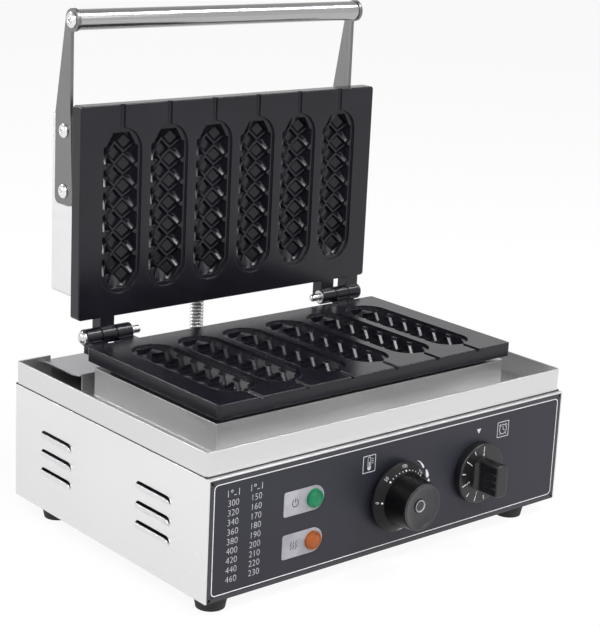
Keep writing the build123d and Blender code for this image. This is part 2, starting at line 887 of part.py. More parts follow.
def make_heater(tail):
    """Tubular element in four runs, both cold ends turned away from the plate."""
    runs = [cavity_middle + (i - 3 / 2) * heater_run_pitch for i in range(4)]
    level = heater_level
    points = [
        (-heater_end_reach, runs[0], level - tail),
        (-heater_end_reach, runs[0], level),
        (heater_reach, runs[0], level),
        (heater_reach, runs[1], level),
        (-heater_turn_reach, runs[1], level),
        (-heater_turn_reach, runs[2], level),
        (heater_reach, runs[2], level),
        (heater_reach, runs[3], level),
        (-heater_end_reach, runs[3], level),
        (-heater_end_reach, runs[3], level - tail),
    ]
    radii = [heater_tail_bend] + [heater_bend] * 6 + [heater_tail_bend]
    path = FilletPolyline(*points, radius=radii)
    start = Plane(origin=points[0], z_dir=(0, 0, 1))
    return sweep(start * Circle(heater_radius), path=path)


def make_clamp():
    """Sheet that presses the element to the casting."""
    z_span = (clamp_level - clamp_thickness, clamp_level)
    y_span = around(cavity_middle, clamp_depth / 2)
    clamp = prism(around(0, clamp_width / 2), y_span, z_span, pad_corner)
    hole_z = (z_span[0] - overrun, z_span[1] + overrun)
    hole = clamp_bolt_radius + thread_play
    return clamp - [bar_z(hole, x, y, hole_z) for x, y in bolt_places()]


def make_clamp_bolts():
    bolts = []
    under = clamp_level - clamp_thickness
    for x, y in bolt_places():
        bolt = bar_z(clamp_bolt_head_radius, x, y, (head_level, under))
        bolts.append(bolt + bar_z(clamp_bolt_radius, x, y, (under, -casting_depth + clamp_bolt_grip)))
    return group(bolts)


def make_pad(thickness):
    """Ceramic wool behind the clamp."""
    z_span = (head_level - thickness, head_level)
    return prism(around(0, pad_width / 2), around(cavity_middle, pad_depth / 2), z_span, pad_corner)


def make_lower_plate(casting_body):
    body = casting_body
    grip = (-plate_edge - overrun, -plate_edge + plate_screw_grip + fit_gap)
    hole = plate_screw_radius + thread_play
    body -= [bar_z(hole, x, y - plate_front, grip) for x, y in spacer_places()]
    body = add_lugs(body, hinge_rise)
    inner, _, outer = knuckle_spans()
    web_x = (-outer[0] - overrun, -inner[1] + overrun)
    web_y = (plate_depth - plate_corner - lug_root_radius, plate_depth + hinge_setback)
    web_z = (-lug_web_drop - lug_web_thickness, -lug_web_drop)
    return lower_place(body + block(web_x, web_y, web_z))


def make_upper_plate(casting_body):
    return upper_place(add_lugs(casting_body, closed_gap - hinge_rise))


# Inside the base


def shield_openings():
    """Places and radii of the holes for the element's ends and the capillary."""
    for i in (0, 3):
        y = plate_front + cavity_middle + (i - 3 / 2) * heater_run_pitch
        yield -heater_end_reach, y, heater_radius + shield_hole_clearance
    yield capillary_out_x, plate_front + cavity_middle, capillary_radius + shield_hole_clearance


def make_heat_shield():
    side = casing_side - top_flange_width + shield_overlap
    inset = top_flange_width - shield_overlap
    y_span = (casing_front + inset, casing_back - inset)
    z_span = (shield_top - shield_sheet, shield_top)
    shield = block(around(0, side), y_span, z_span)
    cut_z = (z_span[0] - overrun, z_span[1] + overrun)
    return shield - [bar_z(radius, x, y, cut_z) for x, y, radius in shield_openings()]


def make_lower_pad():
    thickness = plate_top + head_level - shield_top
    return lower_place(make_pad(thickness))


def make_bulb():
    y = plate_front + cavity_middle
    z = plate_top - casting_depth - bulb_radius - fit_gap
    return bar_x(bulb_radius, around(0, bulb_length / 2), y, z)


def make_capillary():
    """Fine tube from the bulb, down through the shield, to the back of the thermostat."""
    y = plate_front + cavity_middle
    z = plate_top - casting_depth - bulb_radius - fit_gap
    low = casing_bottom + capillary_level
    end_y = front_inner + thermostat_body_length + body_boss_length
    points = [
        (bulb_length / 2, y, z),
        (capillary_out_x, y, z),
        (capillary_out_x, y, low),
        (thermostat_x, y, low),
        (thermostat_x, y, dial_z),
        (thermostat_x, end_y, dial_z),
    ]
    rise = dial_z - low
    small_bend = rise * capillary_bend_share
    radii = [capillary_bend, capillary_bend, small_bend, small_bend]
    path = FilletPolyline(*points, radius=radii)
    start = Plane(origin=points[0], z_dir=(1, 0, 0))
    return sweep(start * Circle(capillary_radius), path=path)


def make_terminal_block():
    z_low = casing_bottom + sheet
    y = casing_back - terminal_back_inset
    top = z_low + terminal_height
    body = block(around(terminal_x, terminal_width / 2), around(y, terminal_depth / 2), (z_low, top))
    body = fillet(body.edges().filter_by(Axis.Z), skirt_edge)
    pitch = terminal_width / terminal_ways
    for i in range(terminal_ways):
        x = terminal_x + (i - (terminal_ways - 1) / 2) * pitch
        for row in both_sides(terminal_depth / 4):
            body += bar_z(terminal_screw_radius, x, y + row, (top, top + terminal_screw_height))
    return body


def make_thermal_cutout():
    """Safety cut-out on the under side of the heat shield."""
    y = plate_front + cavity_middle
    under = shield_top - shield_sheet
    return bar_z(cutout_radius, cutout_x, y, (under - cutout_height, under))


def make_cord_gland():
    z = casing_bottom + gland_height
    wall = (casing_back - sheet, casing_back)
    gland = bar_y(gland_thread_radius, gland_x, (wall[0] - gland_inside, wall[1]), z)
    collar = extrude(RegularPolygon(gland_collar_width / 2, 6, major_radius=False), gland_collar_length)
    gland += Pos(gland_x, wall[1] + gland_collar_length, z) * Rot(90, 0, 0) * collar
    dome = bar_y(gland_dome_radius, gland_x, (wall[1] + gland_collar_length, wall[1] + gland_reach), z)
    gland += fillet(dome.edges().filter_by(GeomType.CIRCLE).group_by(Axis.Y)[-1], gland_dome_edge)
    nut = extrude(RegularPolygon(gland_collar_width / 2, 6, major_radius=False), gland_nut_length)
    gland += Pos(gland_x, wall[0], z) * Rot(90, 0, 0) * nut
    bore_y = (wall[0] - gland_inside - overrun, wall[1] + gland_reach + overrun)
    return gland - bar_y(gland_bore_radius, gland_x, bore_y, z)


# Hinge pins


def make_hinge_pin(side):
    """Pin with its head outside, a plain tip inside."""
    inner, _, outer = knuckle_spans()
    head = (outer[1] + fit_gap, outer[1] + fit_gap + pin_head_width)
    tip = inner[0] - pin_tail
    pin = bar_x(pin_radius, (tip, head[0]), hinge_y, hinge_z)
    pin = fillet(pin.edges().filter_by(GeomType.CIRCLE).group_by(Axis.X)[0], pin_tip_round)
    pin += bar_x(pin_head_radius, head, hinge_y, hinge_z)
    pin = fillet(pin.edges().filter_by(GeomType.CIRCLE).group_by(Axis.X)[-1], pin_tip_round)
    return pin if side > 0 else mirror(pin, Plane.YZ)


def make_hinge_clips():
    clips = []
    inner = knuckle_spans()[0]
    for side in (-1, 1):
        ends = sorted((side * (inner[0] - fit_gap), side * (inner[0] - fit_gap - pin_clip_width)))
        clip = bar_x(pin_clip_radius, ends, hinge_y, hinge_z)
        wide = (ends[0] - overrun, ends[1] + overrun)
        clips.append(clip - bar_x(pin_radius + fit_gap, wide, hinge_y, hinge_z))
    return group(clips)


# Conduit between base and lid, with its spring sleeve


def bush(x, y, z):
    """Flanged bush seated on a sheet whose outer face is at z, nut on the far side."""
    ring = bar_z(bush_flange_radius, x, y, (z, z + bush_flange_height))
    ring = fillet(ring.edges().filter_by(GeomType.CIRCLE).group_by(Axis.Z)[-1], bush_flange_edge)
    ring += bar_z(bush_stem_radius, x, y, (z - bush_stem_length, z + fit_gap))
    nut_top = z - tray_sheet
    ring += bar_z(bush_nut_radius, x, y, (nut_top - bush_nut_height, nut_top))
    hole = (z - bush_stem_length - overrun, z + bush_flange_height + overrun)
    return ring - bar_z(conduit_radius + thread_play, x, y, hole)


def lid_underside():
    """Height of the open lid's hinge-side wall above the shelf."""
    return hinge_z + (hinge_y - housing_back)


def make_base_bush():
    return bush(conduit_x, conduit_y, shelf_top)


def make_lid_bush():
    turned = Rot(180, 0, 0) * bush(0, 0, 0)
    return Pos(conduit_x, conduit_y, lid_underside()) * turned


def make_conduit():
    z_span = (shelf_top - bush_stem_length, lid_underside() + bush_stem_length)
    return bar_z(conduit_radius, conduit_x, conduit_y, z_span)


def biarc(start, start_dir, end, end_dir):
    """Two arcs that leave start along start_dir and reach end along end_dir."""
    chord = end - start
    both = start_dir + end_dir
    bend = 2 * (1 - start_dir.dot(end_dir))
    along = chord.dot(both)
    reach = (sqrt(along**2 + bend * chord.dot(chord)) - along) / bend
    first = start + start_dir * reach
    last = end - end_dir * reach
    joint = (first + last) / 2
    joint_dir = (last - first).normalized()
    return [
        Edge.make_tangent_arc(start, start_dir, joint),
        Edge.make_tangent_arc(joint, joint_dir, end),
    ]


def coil_point(turn, base, pitch):
    """Point and direction of the sleeve's line after a number of turns."""
    angle = 2 * pi * turn
    rise = pitch / (2 * pi * spring_mean_radius)
    x = conduit_x + spring_mean_radius * cos(angle)
    y = conduit_y + spring_mean_radius * sin(angle)
    direction = Vector(-sin(angle), cos(angle), rise).normalized()
    return Vector(x, y, base + pitch * turn), direction


def make_spring_sleeve():
    """Close spring whose ends stand square on the two bushes."""
    low = shelf_top + bush_flange_height
    high = lid_underside() - bush_flange_height
    base = low + spring_wire + spring_lead_in
    climb = high - low - 2 * (spring_wire + spring_lead_in)
    turns = round(climb / spring_pitch)
    pitch = climb / turns
    up = Vector(0, 0, 1)
    first, first_dir = coil_point(0, base, pitch)
    last, last_dir = coil_point(turns, base, pitch)
    foot = first - Vector(0, spring_lead_in, spring_lead_in + spring_wire)
    head = last + Vector(0, spring_lead_in, spring_lead_in + spring_wire)
    edges = [Edge.make_line(foot, foot + up * spring_wire)]
    edges += biarc(foot + up * spring_wire, up, first, first_dir)
    for half_turn in range(2 * turns):
        here, here_dir = coil_point(half_turn / 2, base, pitch)
        there, there_dir = coil_point((half_turn + 1) / 2, base, pitch)
        edges += biarc(here, here_dir, there, there_dir)
    edges += biarc(last, last_dir, head - up * spring_wire, up)
    edges.append(Edge.make_line(head - up * spring_wire, head))
    path = Wire(edges)
    report_gap(path, turns)
    return sweep(Plane(origin=foot, z_dir=(0, 0, 1)) * Circle(spring_wire / 2), path=path)


def report_gap(path, turns):
    """Print the sleeve's least gap to itself, measured on points of its line."""
    count = 24 * turns
    points = [path.position_at(i / count) for i in range(count + 1)]
    near = min(
        (points[i] - points[j]).length
        for i in range(len(points))
        for j in range(i + 12, min(i + 40, len(points)))
    )
    print(f"spring sleeve: {turns} turns, least gap to itself {near - spring_wire:.2f} mm")


# Lid


def make_lid_housing():
    x_span = around(0, housing_side)
    y_span = (housing_front, housing_back)
    shell = prism(x_span, y_span, (housing_base, housing_top), housing_corner)
    shell = fillet(shell.faces().sort_by(Axis.Z)[-1].edges(), housing_corner - sheet)
    inner_y = (housing_front + sheet, housing_back - sheet)
    inner_z = (housing_base - overrun, housing_top - sheet)
    shell -= block(around(0, housing_side - sheet), inner_y, inner_z)
    hole_z = (housing_top - 2 * sheet, housing_top + overrun)
    hole = lid_screw_radius + thread_play
    shell -= [bar_z(hole, x, y, hole_z) for x, y in post_places()]
    conduit_z = hinge_z + conduit_setback
    conduit_hole = (housing_back - 2 * sheet, housing_back + overrun)
    shell -= bar_y(bush_stem_radius + fit_gap, conduit_x, conduit_hole, conduit_z)
    for sign in (-1, 1):
        ends = sorted((sign * (housing_side - 2 * sheet), sign * (housing_side + overrun)))
        shell -= [bar_x(arm_screw_radius + thread_play, ends, y, arm_middle) for y in arm_screw_places()]
    return opened(shell)


def post_places():
    """Posts between the upper casting and the top of the housing."""
    ys = (plate_front + post_front, plate_front + plate_depth - post_back)
    return [(x, y) for x in both_sides(post_side) for y in ys]


def make_lid_posts():
    low = lid_face + casting_depth
    high = housing_top - sheet
    posts = []
    for x, y in post_places():
        post = Pos(x, y, low) * extrude(RegularPolygon(post_width / 2, 6, major_radius=False), high - low)
        hole = (high - lid_screw_grip - fit_gap, high + overrun)
        posts.append(opened(post - bar_z(lid_screw_radius + thread_play, x, y, hole)))
    return group(posts)


def make_lid_screws():
    high = housing_top - sheet
    screws = []
    for x, y in post_places():
        head = bar_z(lid_screw_head_radius, x, y, (housing_top, housing_top + lid_screw_head_height))
        head = fillet(head.edges().filter_by(GeomType.CIRCLE).group_by(Axis.Z)[-1], end_bolt_edge)
        screws.append(opened(head + bar_z(lid_screw_radius, x, y, (high - lid_screw_grip, housing_top))))
    return group(screws)


def make_lid_pad():
    thickness = housing_top - sheet - fit_gap - (lid_face - head_level)
    return upper_place(make_pad(thickness))


def arm_screw_places():
    """Places along Y, lid closed, of the screws in each arm."""
    first = housing_front + arm_screw_first
    return (first, first + arm_screw_spacing)


def make_handle_arm(side):
    """Flat bar that tapers from the housing's side to the tube."""
    inner = housing_side
    low = arm_low
    high = low + arm_width
    straight_end = housing_front - arm_straight_past_lid
    rear = housing_front + arm_overlap
    taper_end = housing_front - arm_taper_past_lid
    outline = Polyline(
        (rear, low),
        (rear, high),
        (straight_end, high),
        (tube_y, tube_z + arm_head_radius),
        (tube_y, tube_z),
        (tube_y + arm_neck_reach, tube_z + arm_neck_offset),
        (taper_end, low + arm_taper),
        close=True,
    )
    bar = extrude(Plane.YZ * make_face(outline), amount=arm_thickness)
    ends = bar.edges().filter_by(Axis.X).group_by(Axis.Y)[-1]
    bar = fillet(ends, arm_corner)
    bar += bar_x(arm_head_radius, (0, arm_thickness), tube_y, tube_z)
    cut = (-overrun, arm_thickness + overrun)
    bar -= bar_x(end_bolt_radius + thread_play, cut, tube_y, tube_z)
    bar -= [bar_x(arm_screw_radius + thread_play, cut, y, arm_middle) for y in arm_screw_places()]
    start = inner if side > 0 else -inner - arm_thickness
    return opened(Pos(start, 0, 0) * bar)


def make_handle_tube():
    side = housing_side - fit_gap
    tube = bar_x(tube_radius, around(0, side), tube_y, tube_z)
    tube -= bar_x(tube_radius - tube_wall, around(0, side + overrun), tube_y, tube_z)
    return opened(tube)


def make_tube_plugs():
    """Threaded plugs pressed in the tube's ends for the end bolts."""
    plugs = []
    for side in (-1, 1):
        ends = sorted((side * (housing_side - fit_gap), side * (housing_side - fit_gap - end_plug_length)))
        plug = bar_x(tube_radius - tube_wall - fit_gap, ends, tube_y, tube_z)
        wide = (ends[0] - overrun, ends[1] + overrun)
        plugs.append(opened(plug - bar_x(end_bolt_radius + thread_play, wide, tube_y, tube_z)))
    return group(plugs)


def make_handle_bolts():
    bolts = []
    for side in (-1, 1):
        face = housing_side + arm_thickness
        head = bar_x(end_bolt_head_radius, (face, face + end_bolt_head_height), tube_y, tube_z)
        head = fillet(head.edges().filter_by(GeomType.CIRCLE).group_by(Axis.X)[-1], end_bolt_edge)
        bolt = head + bar_x(end_bolt_radius, (face - end_bolt_grip, face), tube_y, tube_z)
        bolts.append(opened(bolt if side > 0 else mirror(bolt, Plane.YZ)))
    return group(bolts)


def make_arm_screws():
    screws = []
    for side in (-1, 1):
        for y in arm_screw_places():
            face = housing_side + arm_thickness
            head = bar_x(arm_screw_head_radius, (face, face + arm_screw_head_height), y, arm_middle)
            head = fillet(head.edges().filter_by(GeomType.CIRCLE).group_by(Axis.X)[-1], arm_screw_edge)
            screw = head + bar_x(arm_screw_radius, (face - arm_screw_grip, face), y, arm_middle)
            screws.append(opened(screw if side > 0 else mirror(screw, Plane.YZ)))
    return group(screws)


casting = make_casting_body()

parts = {
    "base_casing": make_base_casing(),
    "bottom_plate": make_bottom_plate(),
    "rubber_feet": make_feet(),
    "foot_screws": make_foot_screws(),
    "front_sheet": make_front_sheet(),
    "control_panel": make_control_panel(),
    "lamp_badges": make_lamp_badges(),
    "power_lamp_lens": make_lamp_lens(lamp_heights[0]),
    "heat_lamp_lens": make_lamp_lens(lamp_heights[1]),
    "lamp_bodies": make_lamp_bodies(),
    "thermostat_body": make_thermostat_body(),
    "thermostat_shaft": make_shaft(thermostat_x),
    "thermostat_knob": make_thermostat_knob(),
    "thermostat_insert": make_thermostat_insert(),
    "timer_body": make_timer_body(),
    "timer_shaft": make_shaft(timer_x),
    "timer_knob": make_timer_knob(),
    "drip_tray": make_drip_tray(),
    "rear_shelf": make_rear_shelf(),
    "plate_spacers": make_plate_spacers(),
    "plate_screws": make_plate_screws(),
    "lower_plate": make_lower_plate(casting),
    "lower_heater": lower_place(make_heater(lower_heater_tail)),
    "lower_clamp": lower_place(make_clamp()),
    "lower_clamp_bolts": lower_place(make_clamp_bolts()),
    "lower_insulation": make_lower_pad(),
    "heat_shield": make_heat_shield(),
    "thermostat_bulb": make_bulb(),
    "thermostat_capillary": make_capillary(),
    "terminal_block": make_terminal_block(),
    "thermal_cutout": make_thermal_cutout(),
    "cord_gland": make_cord_gland(),
    "hinge_pin_left": make_hinge_pin(-1),
    "hinge_pin_right": make_hinge_pin(1),
    "hinge_clips": make_hinge_clips(),
    "conduit_base_bush": make_base_bush(),
    "conduit_lid_bush": make_lid_bush(),
    "lead_conduit": make_conduit(),
    "spring_sleeve": make_spring_sleeve(),
    "upper_plate": make_upper_plate(casting),
    "upper_heater": upper_place(make_heater(upper_heater_tail)),
    "upper_clamp": upper_place(make_clamp()),
    "upper_clamp_bolts": upper_place(make_clamp_bolts()),
    "lid_insulation": make_lid_pad(),
    "lid_housing": make_lid_housing(),
    "lid_posts": make_lid_posts(),
    "lid_screws": make_lid_screws(),
    "handle_arm_left": make_handle_arm(-1),
    "handle_arm_right": make_handle_arm(1),
    "handle_tube": make_handle_tube(),
    "tube_plugs": make_tube_plugs(),
    "handle_bolts": make_handle_bolts(),
    "arm_screws": make_arm_screws(),
}

for name, shape in parts.items():
    export_step(shape, f"parts/{name}.step")
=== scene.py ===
import math

import bpy
from mathutils import Matrix, Vector


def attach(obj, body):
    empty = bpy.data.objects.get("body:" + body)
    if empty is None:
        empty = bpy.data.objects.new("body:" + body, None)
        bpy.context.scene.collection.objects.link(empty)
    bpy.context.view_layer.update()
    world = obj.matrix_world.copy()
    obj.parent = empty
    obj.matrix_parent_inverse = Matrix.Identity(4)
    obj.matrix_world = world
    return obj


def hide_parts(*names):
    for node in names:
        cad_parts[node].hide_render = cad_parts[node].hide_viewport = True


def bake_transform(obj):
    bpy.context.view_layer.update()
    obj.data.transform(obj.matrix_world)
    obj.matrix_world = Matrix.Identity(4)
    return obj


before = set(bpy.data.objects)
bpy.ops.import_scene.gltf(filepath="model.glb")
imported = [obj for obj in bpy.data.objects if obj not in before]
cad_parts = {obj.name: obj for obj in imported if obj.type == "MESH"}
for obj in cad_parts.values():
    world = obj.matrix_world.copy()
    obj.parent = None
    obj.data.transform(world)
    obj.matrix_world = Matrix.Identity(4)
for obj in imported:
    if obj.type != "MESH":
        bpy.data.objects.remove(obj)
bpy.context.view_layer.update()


# Casing of the base.
# A folded stainless box, open in front and on top, with louvres pressed out of both side walls.
# The sheet has a fine satin grain that runs along each wall.
def start_finish(name, colour, metallic, roughness, **plain):
    """New finish whose plain values sit on the shader itself."""
    made = bpy.data.materials.new(name)
    made.use_nodes = True
    shader = made.node_tree.nodes["Principled BSDF"]
    shader.inputs["Base Color"].default_value = (*colour, 1.0)
    shader.inputs["Metallic"].default_value = metallic
    shader.inputs["Roughness"].default_value = roughness
    for key, value in plain.items():
        shader.inputs[key.replace("_", " ")].default_value = value
    return made


def shader_of(finish):
    """The one surface shader of a finish."""
    return finish.node_tree.nodes["Principled BSDF"]


def add(finish, kind, sockets, **settings):
    """Shader node with its settings and its sockets, each a plain value or another node's output."""
    made = finish.node_tree.nodes.new("ShaderNode" + kind)
    for key, value in settings.items():
        setattr(made, key, value)
    feed(finish, made, sockets)
    return made


def feed(finish, made, sockets):
    """Give a node's sockets their plain values or links."""
    for key, value in sockets.items():
        if isinstance(value, bpy.types.NodeSocket):
            finish.node_tree.links.new(value, made.inputs[key])
        else:
            made.inputs[key].default_value = value


def object_place(finish, scale):
    """Object coordinates stretched by a scale per metre."""
    place = add(finish, "TexCoord", {})
    stretch = (scale, scale, scale)
    return add(finish, "Mapping", {"Vector": place.outputs["Object"], "Scale": stretch}).outputs["Vector"]


def noise(finish, scale, detail=3.0):
    """Noise over the object coordinates."""
    spot = object_place(finish, scale)
    made = add(finish, "TexNoise", {"Vector": spot, "Scale": 1.0, "Detail": detail, "Roughness": 0.5})
    return made.outputs["Fac"]


def spread(finish, value, low, high, start=0.3, end=0.7):
    """A value drawn out between two levels."""
    sockets = {"Value": value, "From Min": start, "From Max": end, "To Min": low, "To Max": high}
    return add(finish, "MapRange", sockets).outputs["Result"]


def tones(finish, value, stops):
    """Colours along a value, each stop a place and a colour."""
    ramp = add(finish, "ValToRGB", {"Fac": value})
    band = ramp.color_ramp
    while len(band.elements) < len(stops):
        band.elements.new(1.0)
    for element, (place, colour) in zip(band.elements, stops):
        element.position = place
        element.color = (*colour, 1.0)
    return ramp.outputs["Color"]


def shade(colour, share):
    """A colour made lighter or darker by a share."""
    return tuple(min(1.0, part * share) for part in colour)


def soften(finish, height, strength, distance, edge):
    """Bump from a height over edges that are broken by a small radius."""
    rounded = add(finish, "Bevel", {"Radius": edge}, samples=4).outputs["Normal"]
    sockets = {"Height": height, "Strength": strength, "Distance": distance, "Normal": rounded}
    bump = add(finish, "Bump", sockets)
    feed(finish, shader_of(finish), {"Normal": bump.outputs["Normal"]})


def grain_lines(finish, along, fine, slow):
    """Fine lines along one axis, or along Y on faces that are square to it."""
    limit = 0.7
    place = add(finish, "TexCoord", {})
    axis = [0.0, 0.0, 0.0]
    axis["XYZ".index(along)] = 1.0
    lean = add(finish, "VectorMath", {0: place.outputs["Normal"], 1: axis}, operation="DOT_PRODUCT")
    steep = add(finish, "Math", {0: lean.outputs["Value"]}, operation="ABSOLUTE")
    square = add(finish, "Math", {0: steep.outputs[0], 1: limit}, operation="GREATER_THAN")
    usual = [slow if name == along else fine for name in "XYZ"]
    other = [slow if name == "Y" else fine for name in "XYZ"]
    change = [new - old for new, old in zip(other, usual)]
    scale = add(finish, "VectorMath", {0: square.outputs[0], 1: change, 2: usual}, operation="MULTIPLY_ADD")
    spot = add(finish, "VectorMath", {0: place.outputs["Object"], 1: scale.outputs[0]}, operation="MULTIPLY")
    return add(finish, "TexNoise", {"Vector": spot.outputs[0], "Scale": 1.0, "Detail": 2.0}).outputs["Fac"]


def satin_steel(name, colour, roughness, along, grain=0.1, edge=0.0006):
    """Metal with a fine satin grain and faint cloudy patches."""
    patch = 0.03
    finish = start_finish(name, colour, metallic=1.0, roughness=roughness)
    narrow = grain_lines(finish, along, fine=1100.0, slow=9.0)
    broad = grain_lines(finish, along, fine=260.0, slow=3.0)
    lines = add(finish, "Math", {0: narrow, 1: broad}, operation="ADD").outputs[0]
    clouds = noise(finish, scale=14.0)
    lit = spread(finish, lines, roughness - grain / 2, roughness + grain / 2, start=0.7, end=1.3)
    cloud = spread(finish, clouds, low=-patch, high=patch)
    total = add(finish, "Math", {0: lit, 1: cloud}, operation="ADD").outputs[0]
    pale = tones(finish, lines, [(0.35, shade(colour, 0.93)), (0.65, colour)])
    feed(finish, shader_of(finish), {"Roughness": total, "Base Color": pale})
    soften(finish, lines, strength=0.04, distance=0.0002, edge=edge)
    return finish


def dress(finish, *names):
    """Put a finish on CAD nodes as they are."""
    for name in names:
        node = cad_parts[name]
        node.data.materials.clear()
        node.data.materials.append(finish)


SHEET_COLOUR = (0.755, 0.755, 0.76)
casing_steel = satin_steel("casing_steel", SHEET_COLOUR, roughness=0.34, along="X")
dress(casing_steel, "base_casing")


# Bottom plate and the heat shield.
# Plain galvanised sheet. The bottom plate has slots for air and edges folded up, and carries the feet.
# The heat shield lies under the casing's top flange.
def zinc_plate(name, colour, roughness):
    """Galvanised sheet with its faint crystal pattern."""
    finish = start_finish(name, colour, metallic=1.0, roughness=roughness)
    spot = object_place(finish, scale=90.0)
    crystals = add(finish, "TexVoronoi", {"Vector": spot, "Scale": 1.0}, feature="F1")
    crystal = add(finish, "SeparateColor", {"Color": crystals.outputs["Color"]}).outputs[0]
    pale = tones(finish, crystal, [(0.0, shade(colour, 0.82)), (1.0, colour)])
    dull = spread(finish, crystal, roughness - 0.08, roughness + 0.1, start=0.0, end=1.0)
    feed(finish, shader_of(finish), {"Base Color": pale, "Roughness": dull})
    soften(finish, noise(finish, scale=900.0), strength=0.08, distance=0.0002, edge=0.0004)
    return finish


zinc = zinc_plate("galvanised_sheet", (0.58, 0.59, 0.6), roughness=0.45)
dress(zinc, "bottom_plate", "heat_shield")


# Feet.
# Four round black rubber feet, moulded a little wider at the top, screwed through the bottom plate.
def moulded(name, colour, roughness, grain, depth, edge, **plain):
    """Moulded plastic or rubber with a fine pebbled skin."""
    finish = start_finish(name, colour, metallic=0.0, roughness=roughness, **plain)
    skin = noise(finish, grain, detail=4.0)
    worn = noise(finish, scale=60.0, detail=4.0)
    feed(finish, shader_of(finish), {
        "Base Color": tones(finish, worn, [(0.3, shade(colour, 0.8)), (0.7, shade(colour, 1.25))]),
        "Roughness": spread(finish, worn, roughness - 0.06, roughness + 0.08),
    })
    soften(finish, skin, strength=0.35, distance=depth, edge=edge)
    return finish


rubber = moulded(
    "foot_rubber", (0.009, 0.009, 0.009), roughness=0.72, grain=1800.0, depth=0.00015, edge=0.0012)
dress(rubber, "rubber_feet")
screw_zinc = satin_steel("screw_zinc", (0.62, 0.62, 0.62), roughness=0.34, along="Z", edge=0.0003)
dress(screw_zinc, "foot_screws")


# Front sheet and control panel.
# A folded sheet closes the casing in front. The panel on it is a dark satin film with a printed border.
dress(casing_steel, "front_sheet")
PANEL_COLOUR = (0.02, 0.0205, 0.029)
panel_film = start_finish(
    "panel_film", PANEL_COLOUR, metallic=0.0, roughness=0.42, Specular_IOR_Level=0.28)
film_grain = noise(panel_film, scale=2600.0, detail=2.0)
film_cloud = noise(panel_film, scale=9.0, detail=2.0)
feed(panel_film, shader_of(panel_film), {
    "Base Color": tones(panel_film, film_cloud, [
        (0.3, shade(PANEL_COLOUR, 0.93)), (0.7, shade(PANEL_COLOUR, 1.06))]),
    "Roughness": spread(panel_film, film_grain, low=0.38, high=0.46),
})
soften(panel_film, film_grain, strength=0.12, distance=0.00006, edge=0.0003)
dress(panel_film, "control_panel")


# Print on the panel.
# White and grey ink on the film: a fine border with round corners, two columns of plain dial numbers,
# small picture signs and a heat scale. A strip round the panel's edge is printed a little paler.
FACING = {
    "X": (0, math.pi / 2, 0), "-X": (0, -math.pi / 2, 0), "Y": (-math.pi / 2, 0, 0),
    "-Y": (math.pi / 2, 0, 0), "Z": (0, 0, 0),
}
MM = 0.001
PANEL_FACE = -127.0
INK_THICKNESS = 0.06


def deselect():
    """Leave nothing selected, so that the next primitive is alone."""
    bpy.ops.object.select_all(action="DESELECT")


def settle(piece):
    """Put a piece's place, turn and scale into its mesh."""
    deselect()
    piece.select_set(True)
    bpy.context.view_layer.objects.active = piece
    bpy.ops.object.transform_apply(location=True, rotation=True, scale=True)


def edit(piece):
    """Open a piece in edit mode with all of it selected, by its vertices."""
    deselect()
    piece.select_set(True)
    bpy.context.view_layer.objects.active = piece
    bpy.ops.object.mode_set(mode="EDIT")
    bpy.ops.mesh.select_mode(type="VERT")
    bpy.ops.mesh.select_all(action="SELECT")


def close():
    """Leave edit mode."""
    bpy.ops.object.mode_set(mode="OBJECT")


def pick(piece, kind, wanted):
    """Select the vertices or faces whose place, in millimetres, passes a test, and nothing else."""
    close()
    for part in (*piece.data.vertices, *piece.data.edges, *piece.data.polygons):
        part.select = False
    for part in getattr(piece.data, kind):
        spot = part.co if kind == "vertices" else part.center
        part.select = bool(wanted(spot / MM))
    bpy.ops.object.mode_set(mode="EDIT")
    bpy.ops.mesh.select_mode(type="VERT" if kind == "vertices" else "FACE")


def thicken_print(piece):
    """Give flat ink its thickness towards the panel, and turn its faces outwards."""
    edit(piece)
    bpy.ops.mesh.extrude_region_move(TRANSFORM_OT_translate={"value": (0, INK_THICKNESS * MM, 0)})
    bpy.ops.mesh.select_all(action="SELECT")
    bpy.ops.mesh.normals_make_consistent(inside=False)
    close()
    return piece


def ink_line(start, end, width, level):
    """Stroke with round ends between two points of the face."""
    first = Vector((start[0], level, start[1]))
    last = Vector((end[0], level, end[1]))
    deselect()
    bpy.ops.mesh.primitive_circle_add(
        vertices=12, radius=width / 2 * MM, fill_type="NGON", location=first * MM, rotation=FACING["-Y"])
    piece = bpy.context.object
    settle(piece)
    way = last - first
    edit(piece)
    pick(piece, "vertices", lambda spot: (spot - first).dot(way) > 0)
    bpy.ops.transform.translate(value=way * MM)
    close()
    return thicken_print(piece)


def ink_ring(centre, radius, width, level, sides, kept=None):
    """Ring of ink, or the part of it whose places pass a test."""
    middle = Vector((centre[0], level, centre[1]))
    deselect()
    bpy.ops.mesh.primitive_circle_add(
        vertices=sides, radius=(radius + width / 2) * MM, fill_type="NOTHING", location=middle * MM,
        rotation=FACING["-Y"])
    piece = bpy.context.object
    settle(piece)
    edit(piece)
    bpy.ops.mesh.extrude_region_move()
    share = (radius - width / 2) / (radius + width / 2)
    bpy.ops.transform.resize(value=(share, share, share), center_override=middle * MM)
    if kept:
        pick(piece, "polygons", lambda spot: not kept(spot - middle))
        bpy.ops.mesh.delete(type="FACE")
    close()
    return thicken_print(piece)


def ink_disc(centre, radius, level, sides=32):
    """Round spot of ink, or a triangle when it has three sides."""
    middle = Vector((centre[0], level, centre[1]))
    deselect()
    bpy.ops.mesh.primitive_circle_add(
        vertices=sides, radius=radius * MM, fill_type="NGON", location=middle * MM, rotation=FACING["-Y"])
    piece = bpy.context.object
    settle(piece)
    return thicken_print(piece)


